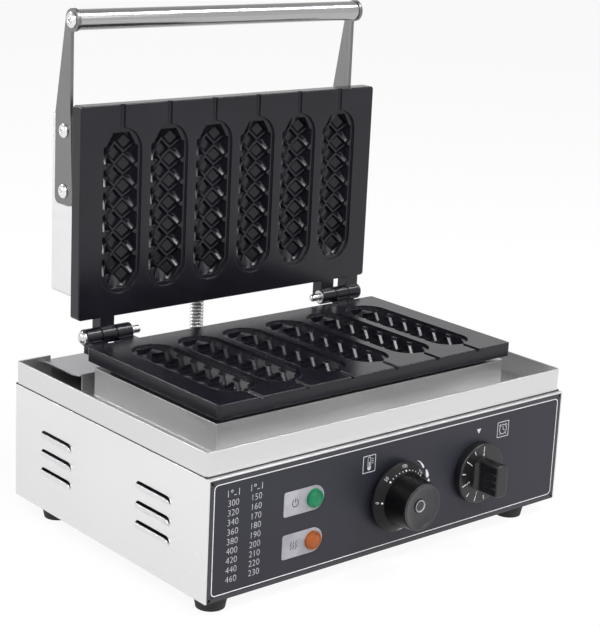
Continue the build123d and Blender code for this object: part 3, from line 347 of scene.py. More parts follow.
def ink_frame(x_span, z_span, corner, width, level):
    """Rectangle of line with round corners."""
    middle = Vector(((x_span[0] + x_span[1]) / 2, level, (z_span[0] + z_span[1]) / 2))
    deselect()
    bpy.ops.mesh.primitive_plane_add(size=1.0, location=middle * MM, rotation=FACING["-Y"])
    piece = bpy.context.object
    piece.scale = ((x_span[1] - x_span[0]) * MM, (z_span[1] - z_span[0]) * MM, 1.0)
    settle(piece)
    edit(piece)
    bpy.ops.mesh.bevel(offset=corner * MM, segments=8, affect="VERTICES")
    bpy.ops.mesh.select_all(action="SELECT")
    bpy.ops.mesh.inset(thickness=width * MM)
    bpy.ops.mesh.delete(type="FACE")
    close()
    return thicken_print(piece)


def ink_number(text, centre, size, level, turn=0.0, weight=-0.012):
    """Plain number set about its middle and turned on the face, its strokes widened by a share."""
    deselect()
    bpy.ops.object.text_add(location=(0, 0, 0))
    piece = bpy.context.object
    piece.data.body = text
    piece.data.size = size * MM
    piece.data.offset = weight * size * MM
    piece.data.align_x = "CENTER"
    piece.data.align_y = "CENTER"
    piece.data.resolution_u = 3
    bpy.ops.object.convert(target="MESH")
    piece = bpy.context.object
    piece.matrix_world = (
        Matrix.Translation(Vector((centre[0], level, centre[1])) * MM)
        @ Matrix.Rotation(turn, 4, "Y") @ Matrix.Rotation(math.pi / 2, 4, "X"))
    settle(piece)
    return thicken_print(piece)


def strokes(middle, lines, level):
    """Ink strokes about a middle, each with its two ends and its width."""
    made = []
    for start, end, width in lines:
        first = (middle[0] + start[0], middle[1] + start[1])
        last = (middle[0] + end[0], middle[1] + end[1])
        made.append(ink_line(first, last, width, level))
    return made


def joined(name, pieces):
    """Like pieces kept as one."""
    deselect()
    for piece in pieces:
        piece.select_set(True)
    bpy.context.view_layer.objects.active = pieces[0]
    if len(pieces) > 1:
        bpy.ops.object.join()
    piece = bpy.context.object
    piece.name = name
    piece.data.name = name
    return piece


def fit(piece, finish, body, slot, *replaced):
    """Give a piece its finish, its body and the nodes that it stands for. The slot is not used."""
    piece.data.materials.clear()
    piece.data.materials.append(finish)
    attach(piece, body)
    if replaced:
        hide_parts(*replaced)


def ink(name, colour, roughness):
    """Screen ink with a faint unevenness."""
    finish = start_finish(name, colour, metallic=0.0, roughness=roughness)
    mottle = noise(finish, scale=700.0)
    feed(finish, shader_of(finish), {
        "Base Color": tones(finish, mottle, [(0.3, shade(colour, 0.88)), (0.6, colour)]),
    })
    soften(finish, mottle, strength=0.1, distance=0.00003, edge=0.00005)
    return finish


white_ink = ink("white_ink", (0.72, 0.72, 0.74), roughness=0.5)
grey_ink = ink("grey_ink", (0.46, 0.46, 0.49), roughness=0.5)
margin_ink = ink("margin_ink", (0.03, 0.029, 0.036), roughness=0.5)
print_level = PANEL_FACE - INK_THICKNESS
MARGIN_X = (-192.5, 192.5)
MARGIN_Z = (12.4, 109.4)
MARGIN_SINK = 0.02
BORDER_X = (-189.0, 189.0)
BORDER_Z = (16.5, 106.0)
margin = ink_frame(MARGIN_X, MARGIN_Z, corner=1.0, width=3.0, level=print_level + MARGIN_SINK)
fit(joined("panel_margin", [margin]), margin_ink, "base", "panel_print")
border = ink_frame(BORDER_X, BORDER_Z, corner=4.0, width=0.75, level=print_level)
fit(joined("panel_border", [border]), white_ink, "base", "panel_print")

NUMBER_COLUMNS = ((-170.5, 300, 20), (-148.5, 150, 10))
NUMBER_ROWS = 9
NUMBER_TOP = 88.5
NUMBER_PITCH = 7.68
NUMBER_SIZE = 7.4
HEADER_HEIGHT = 96.7
HEADER_STROKES = (
    ((-5.2, -2.4), (-5.2, 2.4), 0.6), ((5.2, -2.4), (5.2, 2.4), 0.6), ((0.6, -1.8), (2.6, -1.8), 0.6),
)
DEGREE_SHIFT = (-1.6, 1.5)
numbers = []
for column_x, first, step in NUMBER_COLUMNS:
    for row in range(NUMBER_ROWS):
        place = (column_x, NUMBER_TOP - row * NUMBER_PITCH)
        numbers.append(ink_number(str(first + row * step), place, NUMBER_SIZE, print_level))
    numbers += strokes((column_x, HEADER_HEIGHT), HEADER_STROKES, print_level)
    degree = (column_x + DEGREE_SHIFT[0], HEADER_HEIGHT + DEGREE_SHIFT[1])
    numbers.append(ink_ring(degree, radius=0.9, width=0.5, level=print_level, sides=16))
fit(joined("panel_numbers", numbers), grey_ink, "base", "panel_print")

# Picture signs above the dials: a thermometer and a clock, each in a small square, and a pointer mark.
THERMOMETER_X, THERMOMETER_Z = -34.0, 91.0
THERMOMETER_HALF_WIDTH, THERMOMETER_HALF_HEIGHT = 6.8, 7.3
BULB_Z = THERMOMETER_Z - 3.4
TUBE_TOP_Z = THERMOMETER_Z + 4.2
THERMOMETER_STROKES = (
    ((0.0, -3.0), (0.0, 1.2), 1.1), ((-1.5, -1.6), (-1.5, 4.2), 0.5), ((1.5, -1.6), (1.5, 4.2), 0.5),
    ((2.9, 0.2), (4.2, 0.2), 0.45), ((2.9, 2.0), (4.2, 2.0), 0.45), ((2.9, 3.8), (4.2, 3.8), 0.45),
)
CLOCK_X, CLOCK_Z = 120.4, 90.6
CLOCK_HALF = 7.0
CLOCK_STROKES = (
    ((0.0, 0.0), (0.0, 2.8), 0.55), ((0.0, 0.0), (2.0, -1.0), 0.55),
    ((-3.0, 4.8), (-4.7, 3.3), 0.65), ((-2.9, -3.6), (-3.8, -4.8), 0.55),
    ((3.0, 4.8), (4.7, 3.3), 0.65), ((2.9, -3.6), (3.8, -4.8), 0.55),
)
POINTER_X, POINTER_Z = 90.8, 94.9
SIGN_CORNER = 0.8
SIGN_BORDER = 0.6


def around(middle, half):
    """Span about a middle."""
    return middle - half, middle + half


thermometer_x = around(THERMOMETER_X, THERMOMETER_HALF_WIDTH)
thermometer_z = around(THERMOMETER_Z, THERMOMETER_HALF_HEIGHT)
signs = [ink_frame(thermometer_x, thermometer_z, SIGN_CORNER, SIGN_BORDER, print_level)]
signs.append(ink_disc((THERMOMETER_X, BULB_Z), radius=1.9, level=print_level))
signs += strokes((THERMOMETER_X, THERMOMETER_Z), THERMOMETER_STROKES, print_level)
signs.append(ink_ring(
    (THERMOMETER_X, TUBE_TOP_Z), radius=1.5, width=0.5, level=print_level, sides=24,
    kept=lambda spot: spot.z > -0.1))
clock_x = around(CLOCK_X, CLOCK_HALF)
clock_z = around(CLOCK_Z, CLOCK_HALF)
signs.append(ink_frame(clock_x, clock_z, SIGN_CORNER, SIGN_BORDER, print_level))
signs.append(ink_ring((CLOCK_X, CLOCK_Z), radius=4.2, width=0.55, level=print_level, sides=32))
signs += strokes((CLOCK_X, CLOCK_Z), CLOCK_STROKES, print_level)
pointer = ink_disc((0.0, 0.0), radius=2.9, level=print_level, sides=3)
pointer_place = Vector((POINTER_X, 0.0, POINTER_Z)) * MM
pointer.matrix_world = Matrix.Translation(pointer_place) @ Matrix.Rotation(math.pi, 4, "Y")
settle(pointer)
signs.append(pointer)
sign_ink = ink("sign_ink", (0.56, 0.56, 0.59), roughness=0.5)
fit(joined("panel_signs", signs), sign_ink, "base", "panel_print")

# Heat scale beside the thermostat dial: a bent stroke that grows wider, a shorter drop that swells
# downwards, and a small pointer.
HEAT_STROKES = (
    ((20.2, 82.6), (22.3, 81.6), 0.5), ((22.3, 81.6), (24.4, 79.8), 0.9), ((24.4, 79.8), (26.2, 77.4), 1.4),
    ((26.2, 77.4), (27.3, 75.6), 1.8), ((30.8, 72.2), (31.6, 70.4), 1.4), ((31.6, 70.4), (32.2, 68.4), 2.6),
    ((32.2, 68.4), (32.5, 67.0), 3.2),
)
STROKE_LIFT = 0.01
HEAT_POINTER = (34.2, 62.6)
scale_marks = []
for count, (start, end, width) in enumerate(HEAT_STROKES):
    scale_marks.append(ink_line(start, end, width, print_level - STROKE_LIFT * count))
scale_marks.append(ink_disc(HEAT_POINTER, radius=1.9, level=print_level, sides=3))
fit(joined("panel_heat_scale", scale_marks), white_ink, "base", "panel_print")


# Lamp badges.
# Two pale plastic labels on the panel, each held under the rim of its lamp.
# The upper one has a power sign, the lower one rising heat lines.
badge_plastic = moulded(
    "badge_plastic", (0.31, 0.305, 0.335), roughness=0.42, grain=1500.0, depth=0.00005, edge=0.0003)
dress(badge_plastic, "lamp_badges")
BADGE_FACE = -127.4
badge_ink = ink("badge_ink", (0.05, 0.05, 0.055), roughness=0.5)
badge_level = BADGE_FACE - INK_THICKNESS
SIGN_X = -110.0
POWER_HEIGHT = 75.2
POWER_RING_Z = POWER_HEIGHT - 0.3
POWER_GAP_LOW, POWER_GAP_SIDE = 1.4, 1.5
POWER_FOOT_Z, POWER_TOP_Z = POWER_HEIGHT + 0.4, POWER_HEIGHT + 3.4
POWER_WIDTH = 0.75
HEAT_HEIGHT = 40.0
HEAT_LINE_SHIFTS = (-2.6, 0.0, 2.6)
HEAT_LINE_FOOT = -3.3
HEAT_LINE_BENDS = 3
HEAT_LINE_RISE = 2.1
HEAT_LINE_SWAY = 0.5
HEAT_LINE_WIDTH = 0.7
power_ring = ink_ring(
    (SIGN_X, POWER_RING_Z), radius=3.0, width=POWER_WIDTH, level=badge_level, sides=40,
    kept=lambda spot: spot.z < POWER_GAP_LOW or abs(spot.x) > POWER_GAP_SIDE)
power_stroke = ink_line((SIGN_X, POWER_FOOT_Z), (SIGN_X, POWER_TOP_Z), POWER_WIDTH, badge_level)
badge_signs = [power_ring, power_stroke]
for shift in HEAT_LINE_SHIFTS:
    for row in range(HEAT_LINE_BENDS):
        sway = HEAT_LINE_SWAY if row % 2 else -HEAT_LINE_SWAY
        foot_z = HEAT_HEIGHT + HEAT_LINE_FOOT + row * HEAT_LINE_RISE
        low = (SIGN_X + shift + sway, foot_z)
        high = (SIGN_X + shift - sway, foot_z + HEAT_LINE_RISE)
        badge_signs.append(ink_line(low, high, HEAT_LINE_WIDTH, badge_level))
fit(joined("badge_signs", badge_signs), badge_ink, "base", "badge_white")


# Lamps.
# Coloured plastic caps with a rolled rim and a stepped dome, pushed through the panel into black lamp bodies.
AWAY = {
    "X": Vector((1, 0, 0)), "-X": Vector((-1, 0, 0)), "Y": Vector((0, 1, 0)), "-Y": Vector((0, -1, 0)),
    "Z": Vector((0, 0, 1)),
}
SMOOTH_ANGLE = math.radians(35.0)


def turned(name, foot, facing, rings, sides):
    """Closed round piece drawn out from its foot through rings, each a radius and a height in millimetres."""
    way = AWAY[facing]
    foot = Vector(foot)
    radius, height = rings[0]
    deselect()
    bpy.ops.mesh.primitive_circle_add(
        vertices=sides, radius=radius * MM, fill_type="NGON", location=(foot + way * height) * MM,
        rotation=FACING[facing])
    piece = bpy.context.object
    settle(piece)
    edit(piece)
    for next_radius, next_height in rings[1:]:
        bpy.ops.mesh.extrude_region_move(TRANSFORM_OT_translate={"value": way * (next_height - height) * MM})
        share = next_radius / radius
        middle = (foot + way * next_height) * MM
        bpy.ops.transform.resize(value=(share, share, share), center_override=middle)
        radius, height = next_radius, next_height
    bpy.ops.mesh.select_all(action="SELECT")
    bpy.ops.mesh.normals_make_consistent(inside=False)
    close()
    bpy.ops.object.shade_smooth_by_angle(angle=SMOOTH_ANGLE)
    piece.name = name
    piece.data.name = name
    return piece


LAMP_X = -91.0
LENS_FOOT = -125.3
LENS_RINGS = (
    (7.4, 0.0), (7.6, 0.3), (7.6, 4.3), (7.35, 4.8), (6.8, 5.05), (6.2, 5.0), (5.9, 4.6), (5.6, 4.6),
    (5.3, 5.0), (4.6, 5.25), (3.4, 5.4), (2.0, 5.48), (0.3, 5.5),
)


def lamp_glass(name, colour):
    """Coloured plastic, faintly uneven, with a shiny skin."""
    finish = start_finish(
        name, colour, metallic=0.0, roughness=0.3, Coat_Weight=0.06, Coat_Roughness=0.06,
        Specular_IOR_Level=0.28)
    cloud = noise(finish, scale=160.0, detail=2.0)
    feed(finish, shader_of(finish), {
        "Base Color": tones(finish, cloud, [(0.3, shade(colour, 0.75)), (0.7, shade(colour, 1.15))]),
    })
    soften(finish, cloud, strength=0.1, distance=0.0001, edge=0.0003)
    return finish


LAMPS = (
    ("power_lamp_lens", POWER_HEIGHT, (0.003, 0.17, 0.07), "lens_green"),
    ("heat_lamp_lens", HEAT_HEIGHT, (0.31, 0.073, 0.01), "lens_amber"),
)
for node_name, height, colour, slot_name in LAMPS:
    lens = turned(node_name + "_cap", (LAMP_X, LENS_FOOT, height), "-Y", LENS_RINGS, sides=48)
    fit(lens, lamp_glass(node_name + "_clear", colour), "base", slot_name, node_name)
black_body = moulded(
    "black_body", (0.02, 0.02, 0.02), roughness=0.5, grain=1200.0, depth=0.0001, edge=0.0004)
dress(black_body, "lamp_bodies")


# Thermostat.
# A pressed metal switch body behind the panel, its shaft, and the round black knob with a number skirt.
# The knob's cap is glossy with a dished face and a plain insert in its middle.
plain_steel = satin_steel("plain_steel", (0.55, 0.55, 0.55), roughness=0.4, along="Z", edge=0.0004)
dress(plain_steel, "thermostat_body", "thermostat_shaft", "timer_shaft")
dark_skirt = moulded(
    "dark_skirt", (0.005, 0.005, 0.006), roughness=0.42, grain=2200.0, depth=0.00008, edge=0.0004,
    Specular_IOR_Level=0.18)
cap_gloss = moulded(
    "cap_gloss", (0.002, 0.002, 0.0025), roughness=0.28, grain=2600.0, depth=0.00003, edge=0.0005,
    Specular_IOR_Level=0.12)
cap_satin = moulded(
    "cap_satin", (0.02, 0.0197, 0.023), roughness=0.24, grain=2600.0, depth=0.00004, edge=0.0005)
DIAL_HEIGHT = 59.0
THERMOSTAT_X = -5.0
KNOB_BACK = -127.8
KNOB_RINGS = (
    (0.4, 16.0), (3.0, 16.0), (3.0, 0.0), (25.9, 0.0), (26.0, 3.8), (28.9, 3.8), (29.3, 4.1),
    (29.4, 4.6), (29.4, 6.6), (29.1, 7.1), (28.6, 7.6), (23.2, 11.85), (22.6, 12.3), (22.35, 13.2),
    (20.0, 31.9), (19.85, 32.7), (19.4, 33.15), (18.9, 33.2), (18.3, 33.1), (17.5, 32.4), (16.4, 31.7),
    (14.2, 30.9), (11.8, 30.3), (9.4, 29.9), (7.4, 29.75), (5.7, 29.7), (5.5, 29.4), (0.4, 29.4),
)
CAP_FOOT_Y = KNOB_BACK - 12.4
CAP_REACH = 22.6
DISH_Y = KNOB_BACK - 29.0
DISH_REACH = 19.3
knob = turned(
    "thermostat_knob_turned", (THERMOSTAT_X, KNOB_BACK, DIAL_HEIGHT), "-Y", KNOB_RINGS, sides=96)
fit(knob, dark_skirt, "thermostat_dial", "knob_black", "thermostat_knob")
knob.data.materials.append(cap_gloss)
knob.data.materials.append(cap_satin)
for face in knob.data.polygons:
    spot = face.center / MM
    reach = math.hypot(spot.x - THERMOSTAT_X, spot.z - DIAL_HEIGHT)
    if spot.y < CAP_FOOT_Y and reach < CAP_REACH:
        face.material_index = 2 if reach < DISH_REACH and spot.y < DISH_Y else 1

# Round insert in the middle of the dish, with a paler rim.
INSERT_Y = KNOB_BACK - 30.5
INSERT_RINGS = (
    (5.1, -1.1), (5.2, -0.5), (5.2, 0.1), (5.0, 0.4), (4.6, 0.4), (4.1, -0.1), (3.6, -0.25),
    (2.2, -0.3), (0.3, -0.35),
)
RIM_Y = KNOB_BACK - 30.6
RIM_REACH = 4.2
insert = turned(
    "thermostat_insert_turned", (THERMOSTAT_X, INSERT_Y, DIAL_HEIGHT), "-Y", INSERT_RINGS, sides=48)
ring_satin = moulded(
    "ring_satin", (0.3, 0.3, 0.32), roughness=0.32, grain=2400.0, depth=0.00003, edge=0.0002)
fit(insert, cap_satin, "thermostat_dial", "knob_black", "thermostat_insert")
insert.data.materials.append(ring_satin)
for face in insert.data.polygons:
    spot = face.center / MM
    if spot.y < RIM_Y and math.hypot(spot.x - THERMOSTAT_X, spot.z - DIAL_HEIGHT) > RIM_REACH:
        face.material_index = 1

# Numbers and dots printed on the sloping skirt.
SKIRT_FACE = KNOB_BACK - 7.0
SKIRT_RADIUS = 29.4
SLOPE = math.atan2(5.4, 6.9)


def on_dial(middle_x, reach, degrees):
    """Place on a dial's face at a reach and an angle from straight up, clockwise."""
    angle = math.radians(degrees)
    return (middle_x + reach * math.sin(angle), DIAL_HEIGHT + reach * math.cos(angle))


def on_slope(piece, reach, degrees):
    """Lay a mark that was made about the origin on the sloping skirt of the thermostat's knob."""
    x, z = on_dial(THERMOSTAT_X, reach, degrees)
    level = SKIRT_FACE - (SKIRT_RADIUS - reach) * math.tan(SLOPE) - INK_THICKNESS
    spin = Matrix.Rotation(math.radians(degrees), 4, "Y")
    piece.matrix_world = (
        Matrix.Translation(Vector((x, level, z)) * MM) @ spin @ Matrix.Rotation(-SLOPE, 4, "X"))
    settle(piece)
    return piece


FIRST_MARK = -87.0
MARK_STEP = 44.4
SMALL_DOTS = 4
SKIRT_NUMBERS = (0, 50, 100, 150, 200, 250, 300)
SKIRT_NUMBER_SIZE = 3.9
SKIRT_NUMBER_REACH = 26.9
DOT_REACH = 23.9
DOT_RADIUS = 0.8
SMALL_DOT_RADIUS = 0.45
skirt_marks = []
for count, label in enumerate(SKIRT_NUMBERS):
    degrees = FIRST_MARK + count * MARK_STEP
    number = ink_number(str(label), (0, 0), SKIRT_NUMBER_SIZE, level=0.0)
    skirt_marks.append(on_slope(number, SKIRT_NUMBER_REACH, degrees))
    skirt_marks.append(on_slope(ink_disc((0, 0), DOT_RADIUS, level=0.0, sides=20), DOT_REACH, degrees))
    if 0 < count < len(SKIRT_NUMBERS) - 1:
        for small in range(1, SMALL_DOTS + 1):
            between = degrees + small * MARK_STEP / (SMALL_DOTS + 1)
            dot = ink_disc((0, 0), SMALL_DOT_RADIUS, level=0.0, sides=12)
            skirt_marks.append(on_slope(dot, DOT_REACH, between))
fit(joined("thermostat_dial_marks", skirt_marks), white_ink, "thermostat_dial", "panel_print")


# Timer.
# A black clockwork body behind the panel, and its round knob with a scooped, ribbed grip and a ticked skirt.
dress(black_body, "timer_body")
grip_plastic = moulded(
    "grip_plastic", (0.006, 0.006, 0.007), roughness=0.32, grain=2200.0, depth=0.00006, edge=0.0008,
    Specular_IOR_Level=0.5)
dress(grip_plastic, "timer_knob")
TIMER_X = 90.0
TICKS = 11
FIRST_TICK = 1.7
TICK_STEP = -27.4
LONG_TICK_FOOT, SHORT_TICK_FOOT, TICK_TOP = 19.4, 20.6, 23.8
TICK_WIDTH = 0.75
TIMER_NUMBER_REACH = 16.8
TIMER_NUMBER_SIZE = 4.0
TIMER_NUMBER_WEIGHT = 0.015
TIMER_FACE = KNOB_BACK - 7.0
dial_level = TIMER_FACE - INK_THICKNESS
timer_marks = []
for count in range(TICKS):
    degrees = FIRST_TICK + count * TICK_STEP
    long_tick = count % 2 == 0
    foot = on_dial(TIMER_X, LONG_TICK_FOOT if long_tick else SHORT_TICK_FOOT, degrees)
    timer_marks.append(ink_line(foot, on_dial(TIMER_X, TICK_TOP, degrees), TICK_WIDTH, dial_level))
    if long_tick:
        spot = on_dial(TIMER_X, TIMER_NUMBER_REACH, degrees)
        timer_marks.append(ink_number(
            str(count // 2), spot, TIMER_NUMBER_SIZE, dial_level, math.radians(degrees), TIMER_NUMBER_WEIGHT))
fit(joined("timer_dial_marks", timer_marks), white_ink, "timer_dial", "panel_print")

# Three ribs on either side of the grip, along the knob's axis.
RIB_FOOT = -146.0
RIB_SIDE = 6.3
RIB_PITCH = 6.0
RIB_RINGS = ((0.5, 0.0), (0.95, 0.8), (0.95, 10.4), (0.7, 11.0))
ribs = []
for side in (-1, 1):
    for row in (-1, 0, 1):
        place = (TIMER_X + side * RIB_SIDE, RIB_FOOT, DIAL_HEIGHT + row * RIB_PITCH)
        ribs.append(turned("grip_rib", place, "-Y", RIB_RINGS, sides=12))
fit(joined("timer_grip_ribs", ribs), grip_plastic, "timer_dial", "knob_black")


# Terminal block, cut-out and cord gland.
# Glazed ceramic block on the bottom plate, a ceramic cut-out under the heat shield, and a black plastic
# gland for the mains cord, held in the casing's back by its nut.
ceramic = moulded(
    "glazed_ceramic", (0.72, 0.7, 0.64), roughness=0.3, grain=700.0, depth=0.0001, edge=0.0008)
dress(ceramic, "terminal_block", "thermal_cutout")
gland_plastic = moulded(
    "gland_plastic", (0.02, 0.02, 0.02), roughness=0.45, grain=1600.0, depth=0.0001, edge=0.0006)
dress(gland_plastic, "cord_gland")


# Drip tray.
# One bright stainless tray folded up all round, with a raised box in its middle that carries the lower plate.
tray_steel = satin_steel(
    "tray_steel", (0.66, 0.66, 0.66), roughness=0.36, along="X", grain=0.08, edge=0.0009)
dress(tray_steel, "drip_tray")

# Painted shadow: a dark strip laid in the seam between the tray's rim and the casing, standing in for the
# shade in the gap there.
painted_seam_shadow = moulded(
    "painted_seam_shadow", (0.02, 0.02, 0.02), roughness=0.6, grain=1500.0, depth=0.0001, edge=0.0002)
SEAM_LOW, SEAM_HIGH = 110.9, 111.9
SEAM_LENGTH_X, SEAM_LENGTH_Y = (-193.9, 193.9), (-122.0, 143.0)
SEAM_FRONT, SEAM_BACK = (-122.85, -121.0), (142.0, 143.65)
SEAM_LEFT, SEAM_RIGHT = (-193.75, -192.0), (192.0, 193.75)
SEAM_RUNS = (
    (SEAM_LENGTH_X, SEAM_FRONT), (SEAM_LENGTH_X, SEAM_BACK), (SEAM_LEFT, SEAM_LENGTH_Y),
    (SEAM_RIGHT, SEAM_LENGTH_Y),
)
seam_shadow_strips = []
for x_span, y_span in SEAM_RUNS:
    deselect()
    middle = Vector((sum(x_span) / 2, sum(y_span) / 2, (SEAM_LOW + SEAM_HIGH) / 2))
    bpy.ops.mesh.primitive_cube_add(size=1.0, location=middle * MM)
    seam_shadow_strip = bpy.context.object
    seam_shadow_strip.scale = Vector((x_span[1] - x_span[0], y_span[1] - y_span[0], SEAM_HIGH - SEAM_LOW)) * MM
    settle(seam_shadow_strip)
    seam_shadow_strips.append(seam_shadow_strip)
# The joined dark strips are painted shadow for the seam.
fit(joined("tray_seam_painted_shadow", seam_shadow_strips), painted_seam_shadow, "base", "foot_rubber")


# Rear shelf.
# A low stainless cover behind the plates that carries the spring's lower end.
# The shelf's steel has a darker colour than the tray's: painted shade, where the shelf lies under the lid.
shelf_steel_painted_shade = satin_steel("shelf_steel_painted_shade", (0.52, 0.52, 0.53), roughness=0.45, along="X", grain=0.08)
dress(shelf_steel_painted_shade, "rear_shelf")


# Spacers and screws of the lower plate.
# Short blackened steel tubes keep the hot plate off the tray, with zinc-plated screws through them.
black_steel = satin_steel("black_steel", (0.02, 0.02, 0.022), roughness=0.5, along="Z", edge=0.0004)
dress(black_steel, "plate_spacers")
dress(screw_zinc, "plate_screws")


# Lower and upper plate.
# Two aluminium castings with six moulds each, under a black non-stick coat with a satin shine.
def nonstick(name):
    """Black baked coat over cast aluminium, with a fine orange peel and a few duller patches."""
    colour = (0.0068, 0.0066, 0.0105)
    finish = start_finish(name, colour, metallic=0.0, roughness=0.2, Specular_IOR_Level=0.34)
    peel = noise(finish, scale=1300.0)
    cloud = noise(finish, scale=22.0, detail=4.0)
    lit = spread(finish, cloud, low=0.17, high=0.24)
    grains = spread(finish, peel, low=-0.05, high=0.05)
    total = add(finish, "Math", {0: lit, 1: grains}, operation="ADD").outputs[0]
    feed(finish, shader_of(finish), {
        "Roughness": total,
        "Base Color": tones(finish, cloud, [(0.3, shade(colour, 0.8)), (0.7, shade(colour, 1.3))]),
    })
    soften(finish, peel, strength=0.14, distance=0.0001, edge=0.0009)
    return finish


coat = nonstick("nonstick_coat")
dress(coat, "lower_plate", "upper_plate")


# Heaters, clamps, pads and bulb behind the plates.
# Bent tubular elements under pressed steel clamps, with ceramic wool behind them and a brass thermostat bulb.
element = satin_steel("heater_tube", (0.3, 0.28, 0.26), roughness=0.45, along="X", edge=0.0005)
dress(element, "lower_heater", "upper_heater")
dress(plain_steel, "lower_clamp", "upper_clamp")
dress(screw_zinc, "lower_clamp_bolts", "upper_clamp_bolts")
wool = moulded("ceramic_wool", (0.74, 0.72, 0.66), roughness=0.9, grain=500.0, depth=0.0012, edge=0.002)
dress(wool, "lower_insulation", "lid_insulation")
brass = satin_steel("brass_tube", (0.72, 0.52, 0.24), roughness=0.32, along="X", edge=0.0003)
dress(brass, "thermostat_bulb", "thermostat_capillary")


# Hinge pins and clips.
# Polished stainless pins with domed heads through the plates' knuckles, held by spring clips.
pin_steel = satin_steel("pin_steel", (0.6, 0.6, 0.6), roughness=0.22, along="X", edge=0.0004)
bright_steel = satin_steel("bright_steel", (0.78, 0.78, 0.78), roughness=0.16, along="X", grain=0.06)
HINGE_Y, HINGE_Z = 103.0, 155.2
PIN_INNER_X = 97.0
PIN_RINGS = (
    (1.2, 0.0), (2.9, 0.6), (3.5, 1.4), (3.5, 56.05), (5.7, 56.05), (6.0, 56.3), (6.0, 57.2), (5.7, 58.2),
    (4.7, 59.1), (3.2, 59.7), (1.6, 60.0), (0.3, 60.05),
)
for side, facing, node_name in ((-1, "-X", "hinge_pin_left"), (1, "X", "hinge_pin_right")):
    pin = turned(
        node_name + "_turned", (side * PIN_INNER_X, HINGE_Y, HINGE_Z), facing, PIN_RINGS, sides=40)
    fit(pin, pin_steel, "base", "steel_bright", node_name)
dress(plain_steel, "hinge_clips")


# Lead conduit and spring sleeve.
# A grey corrugated conduit carries the lid's leads from bush to bush. Round it goes an open steel spring.
CONDUIT_X, CONDUIT_Y = -12.7, 133.45
CONDUIT_LOW, CONDUIT_HIGH = 120.8, 190.1
CONDUIT_LENGTH = CONDUIT_HIGH - CONDUIT_LOW
END_RADIUS, TIP_RADIUS = 3.6, 0.4
FIRST_WAVE = 0.3
WAVE = 2.1
WAVE_SHAPE = ((3.7, 0.0), (4.15, 0.3), (4.15, 0.6), (3.7, 0.9))
WELD_REACH = 0.01
WIRE_SMOOTH_ANGLE = math.radians(40.0)
waves = [(TIP_RADIUS, 0.0), (END_RADIUS, 0.0)]
height = FIRST_WAVE
while height < CONDUIT_LENGTH - WAVE:
    waves += [(radius, height + WAVE * share) for radius, share in WAVE_SHAPE]
    height += WAVE
waves += [(END_RADIUS, CONDUIT_LENGTH), (TIP_RADIUS, CONDUIT_LENGTH)]
conduit = turned("lead_conduit_waved", (CONDUIT_X, CONDUIT_Y, CONDUIT_LOW), "Z", waves, sides=24)
conduit_grey = moulded(
    "conduit_grey", (0.3, 0.3, 0.3), roughness=0.5, grain=900.0, depth=0.0001, edge=0.0003)
conduit.data.materials.append(conduit_grey)
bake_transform(conduit)
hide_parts("lead_conduit")
spring_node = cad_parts["spring_sleeve"]
spring = spring_node.copy()
spring.data = spring_node.data.copy()
bpy.context.collection.objects.link(spring)
spring.parent = None
spring.name = "spring_sleeve_wire"
edit(spring)
bpy.ops.mesh.remove_doubles(threshold=WELD_REACH * MM)
close()
bpy.ops.object.shade_smooth_by_angle(angle=WIRE_SMOOTH_ANGLE)
spring.data.materials.clear()
spring.data.materials.append(bright_steel)
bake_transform(spring)
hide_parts("spring_sleeve")
dress(bright_steel, "conduit_base_bush", "conduit_lid_bush")


# Lid housing and its posts.
# A folded stainless cover over the back of the upper plate, held by four corner posts.
lid_steel = satin_steel(
    "lid_steel", shade(SHEET_COLOUR, 0.93), roughness=0.42, along="X", edge=0.0007)
dress(lid_steel, "lid_housing")
dress(plain_steel, "lid_posts")


# Handle arms and tube.
# Two tapered steel arms, satin ground along their length, and a polished tube between them on steel plugs.
arm_steel = satin_steel("arm_steel", (0.2, 0.2, 0.2), roughness=0.32, along="Z", edge=0.0005)
dress(arm_steel, "handle_arm_left", "handle_arm_right")
tube_steel = satin_steel(
    "tube_steel", (0.4, 0.4, 0.4), roughness=0.2, along="X", grain=0.08, edge=0.0004)
dress(tube_steel, "handle_tube")
dress(plain_steel, "tube_plugs")


# Screws and bolts of the lid.
# Shiny domed heads: cross-recessed screws in the arms and the housing, and hexagon-socket bolts that hold
# the tube between the arms.
CROSS_TURN = 0.6
CROSS_TIP = (0.45, 0.8, 1.0)


def cut(piece, tool):
    """Take a tool's shape out of a piece."""
    deselect()
    piece.select_set(True)
    bpy.context.view_layer.objects.active = piece
    made = piece.modifiers.new("recess", "BOOLEAN")
    made.operation = "DIFFERENCE"
    made.solver = "EXACT"
    made.object = tool
    bpy.ops.object.modifier_apply(modifier=made.name)
    bpy.data.objects.remove(tool)
    bpy.ops.object.shade_smooth_by_angle(angle=SMOOTH_ANGLE)


def cross_tool(place, facing, reach, width, depth):
    """Crossed driver tip that narrows into the head."""
    arms = []
    spot = Vector(place)
    for turn in (0.0, math.pi / 2):
        deselect()
        bpy.ops.mesh.primitive_cube_add(size=2.0, location=(0, 0, 0))
        arm = bpy.context.object
        arm.scale = (reach * MM, width / 2 * MM, depth * MM)
        settle(arm)
        edit(arm)
        pick(arm, "polygons", lambda middle: middle.z < -depth + 0.01)
        bpy.ops.transform.resize(value=CROSS_TIP, center_override=(0, 0, -depth * MM))
        close()
        lean = Vector((0, 0, 1)).rotation_difference(AWAY[facing]).to_matrix().to_4x4()
        arm.matrix_world = Matrix.Translation(spot * MM) @ lean @ Matrix.Rotation(turn + CROSS_TURN, 4, "Z")
        settle(arm)
        arms.append(arm)
    return arms


def copy_of(piece, shift):
    """Copy with its own mesh, moved by a shift in millimetres."""
    twin = piece.copy()
    twin.data = piece.data.copy()
    bpy.context.collection.objects.link(twin)
    twin.location = Vector(shift) * MM
    settle(twin)
    return twin


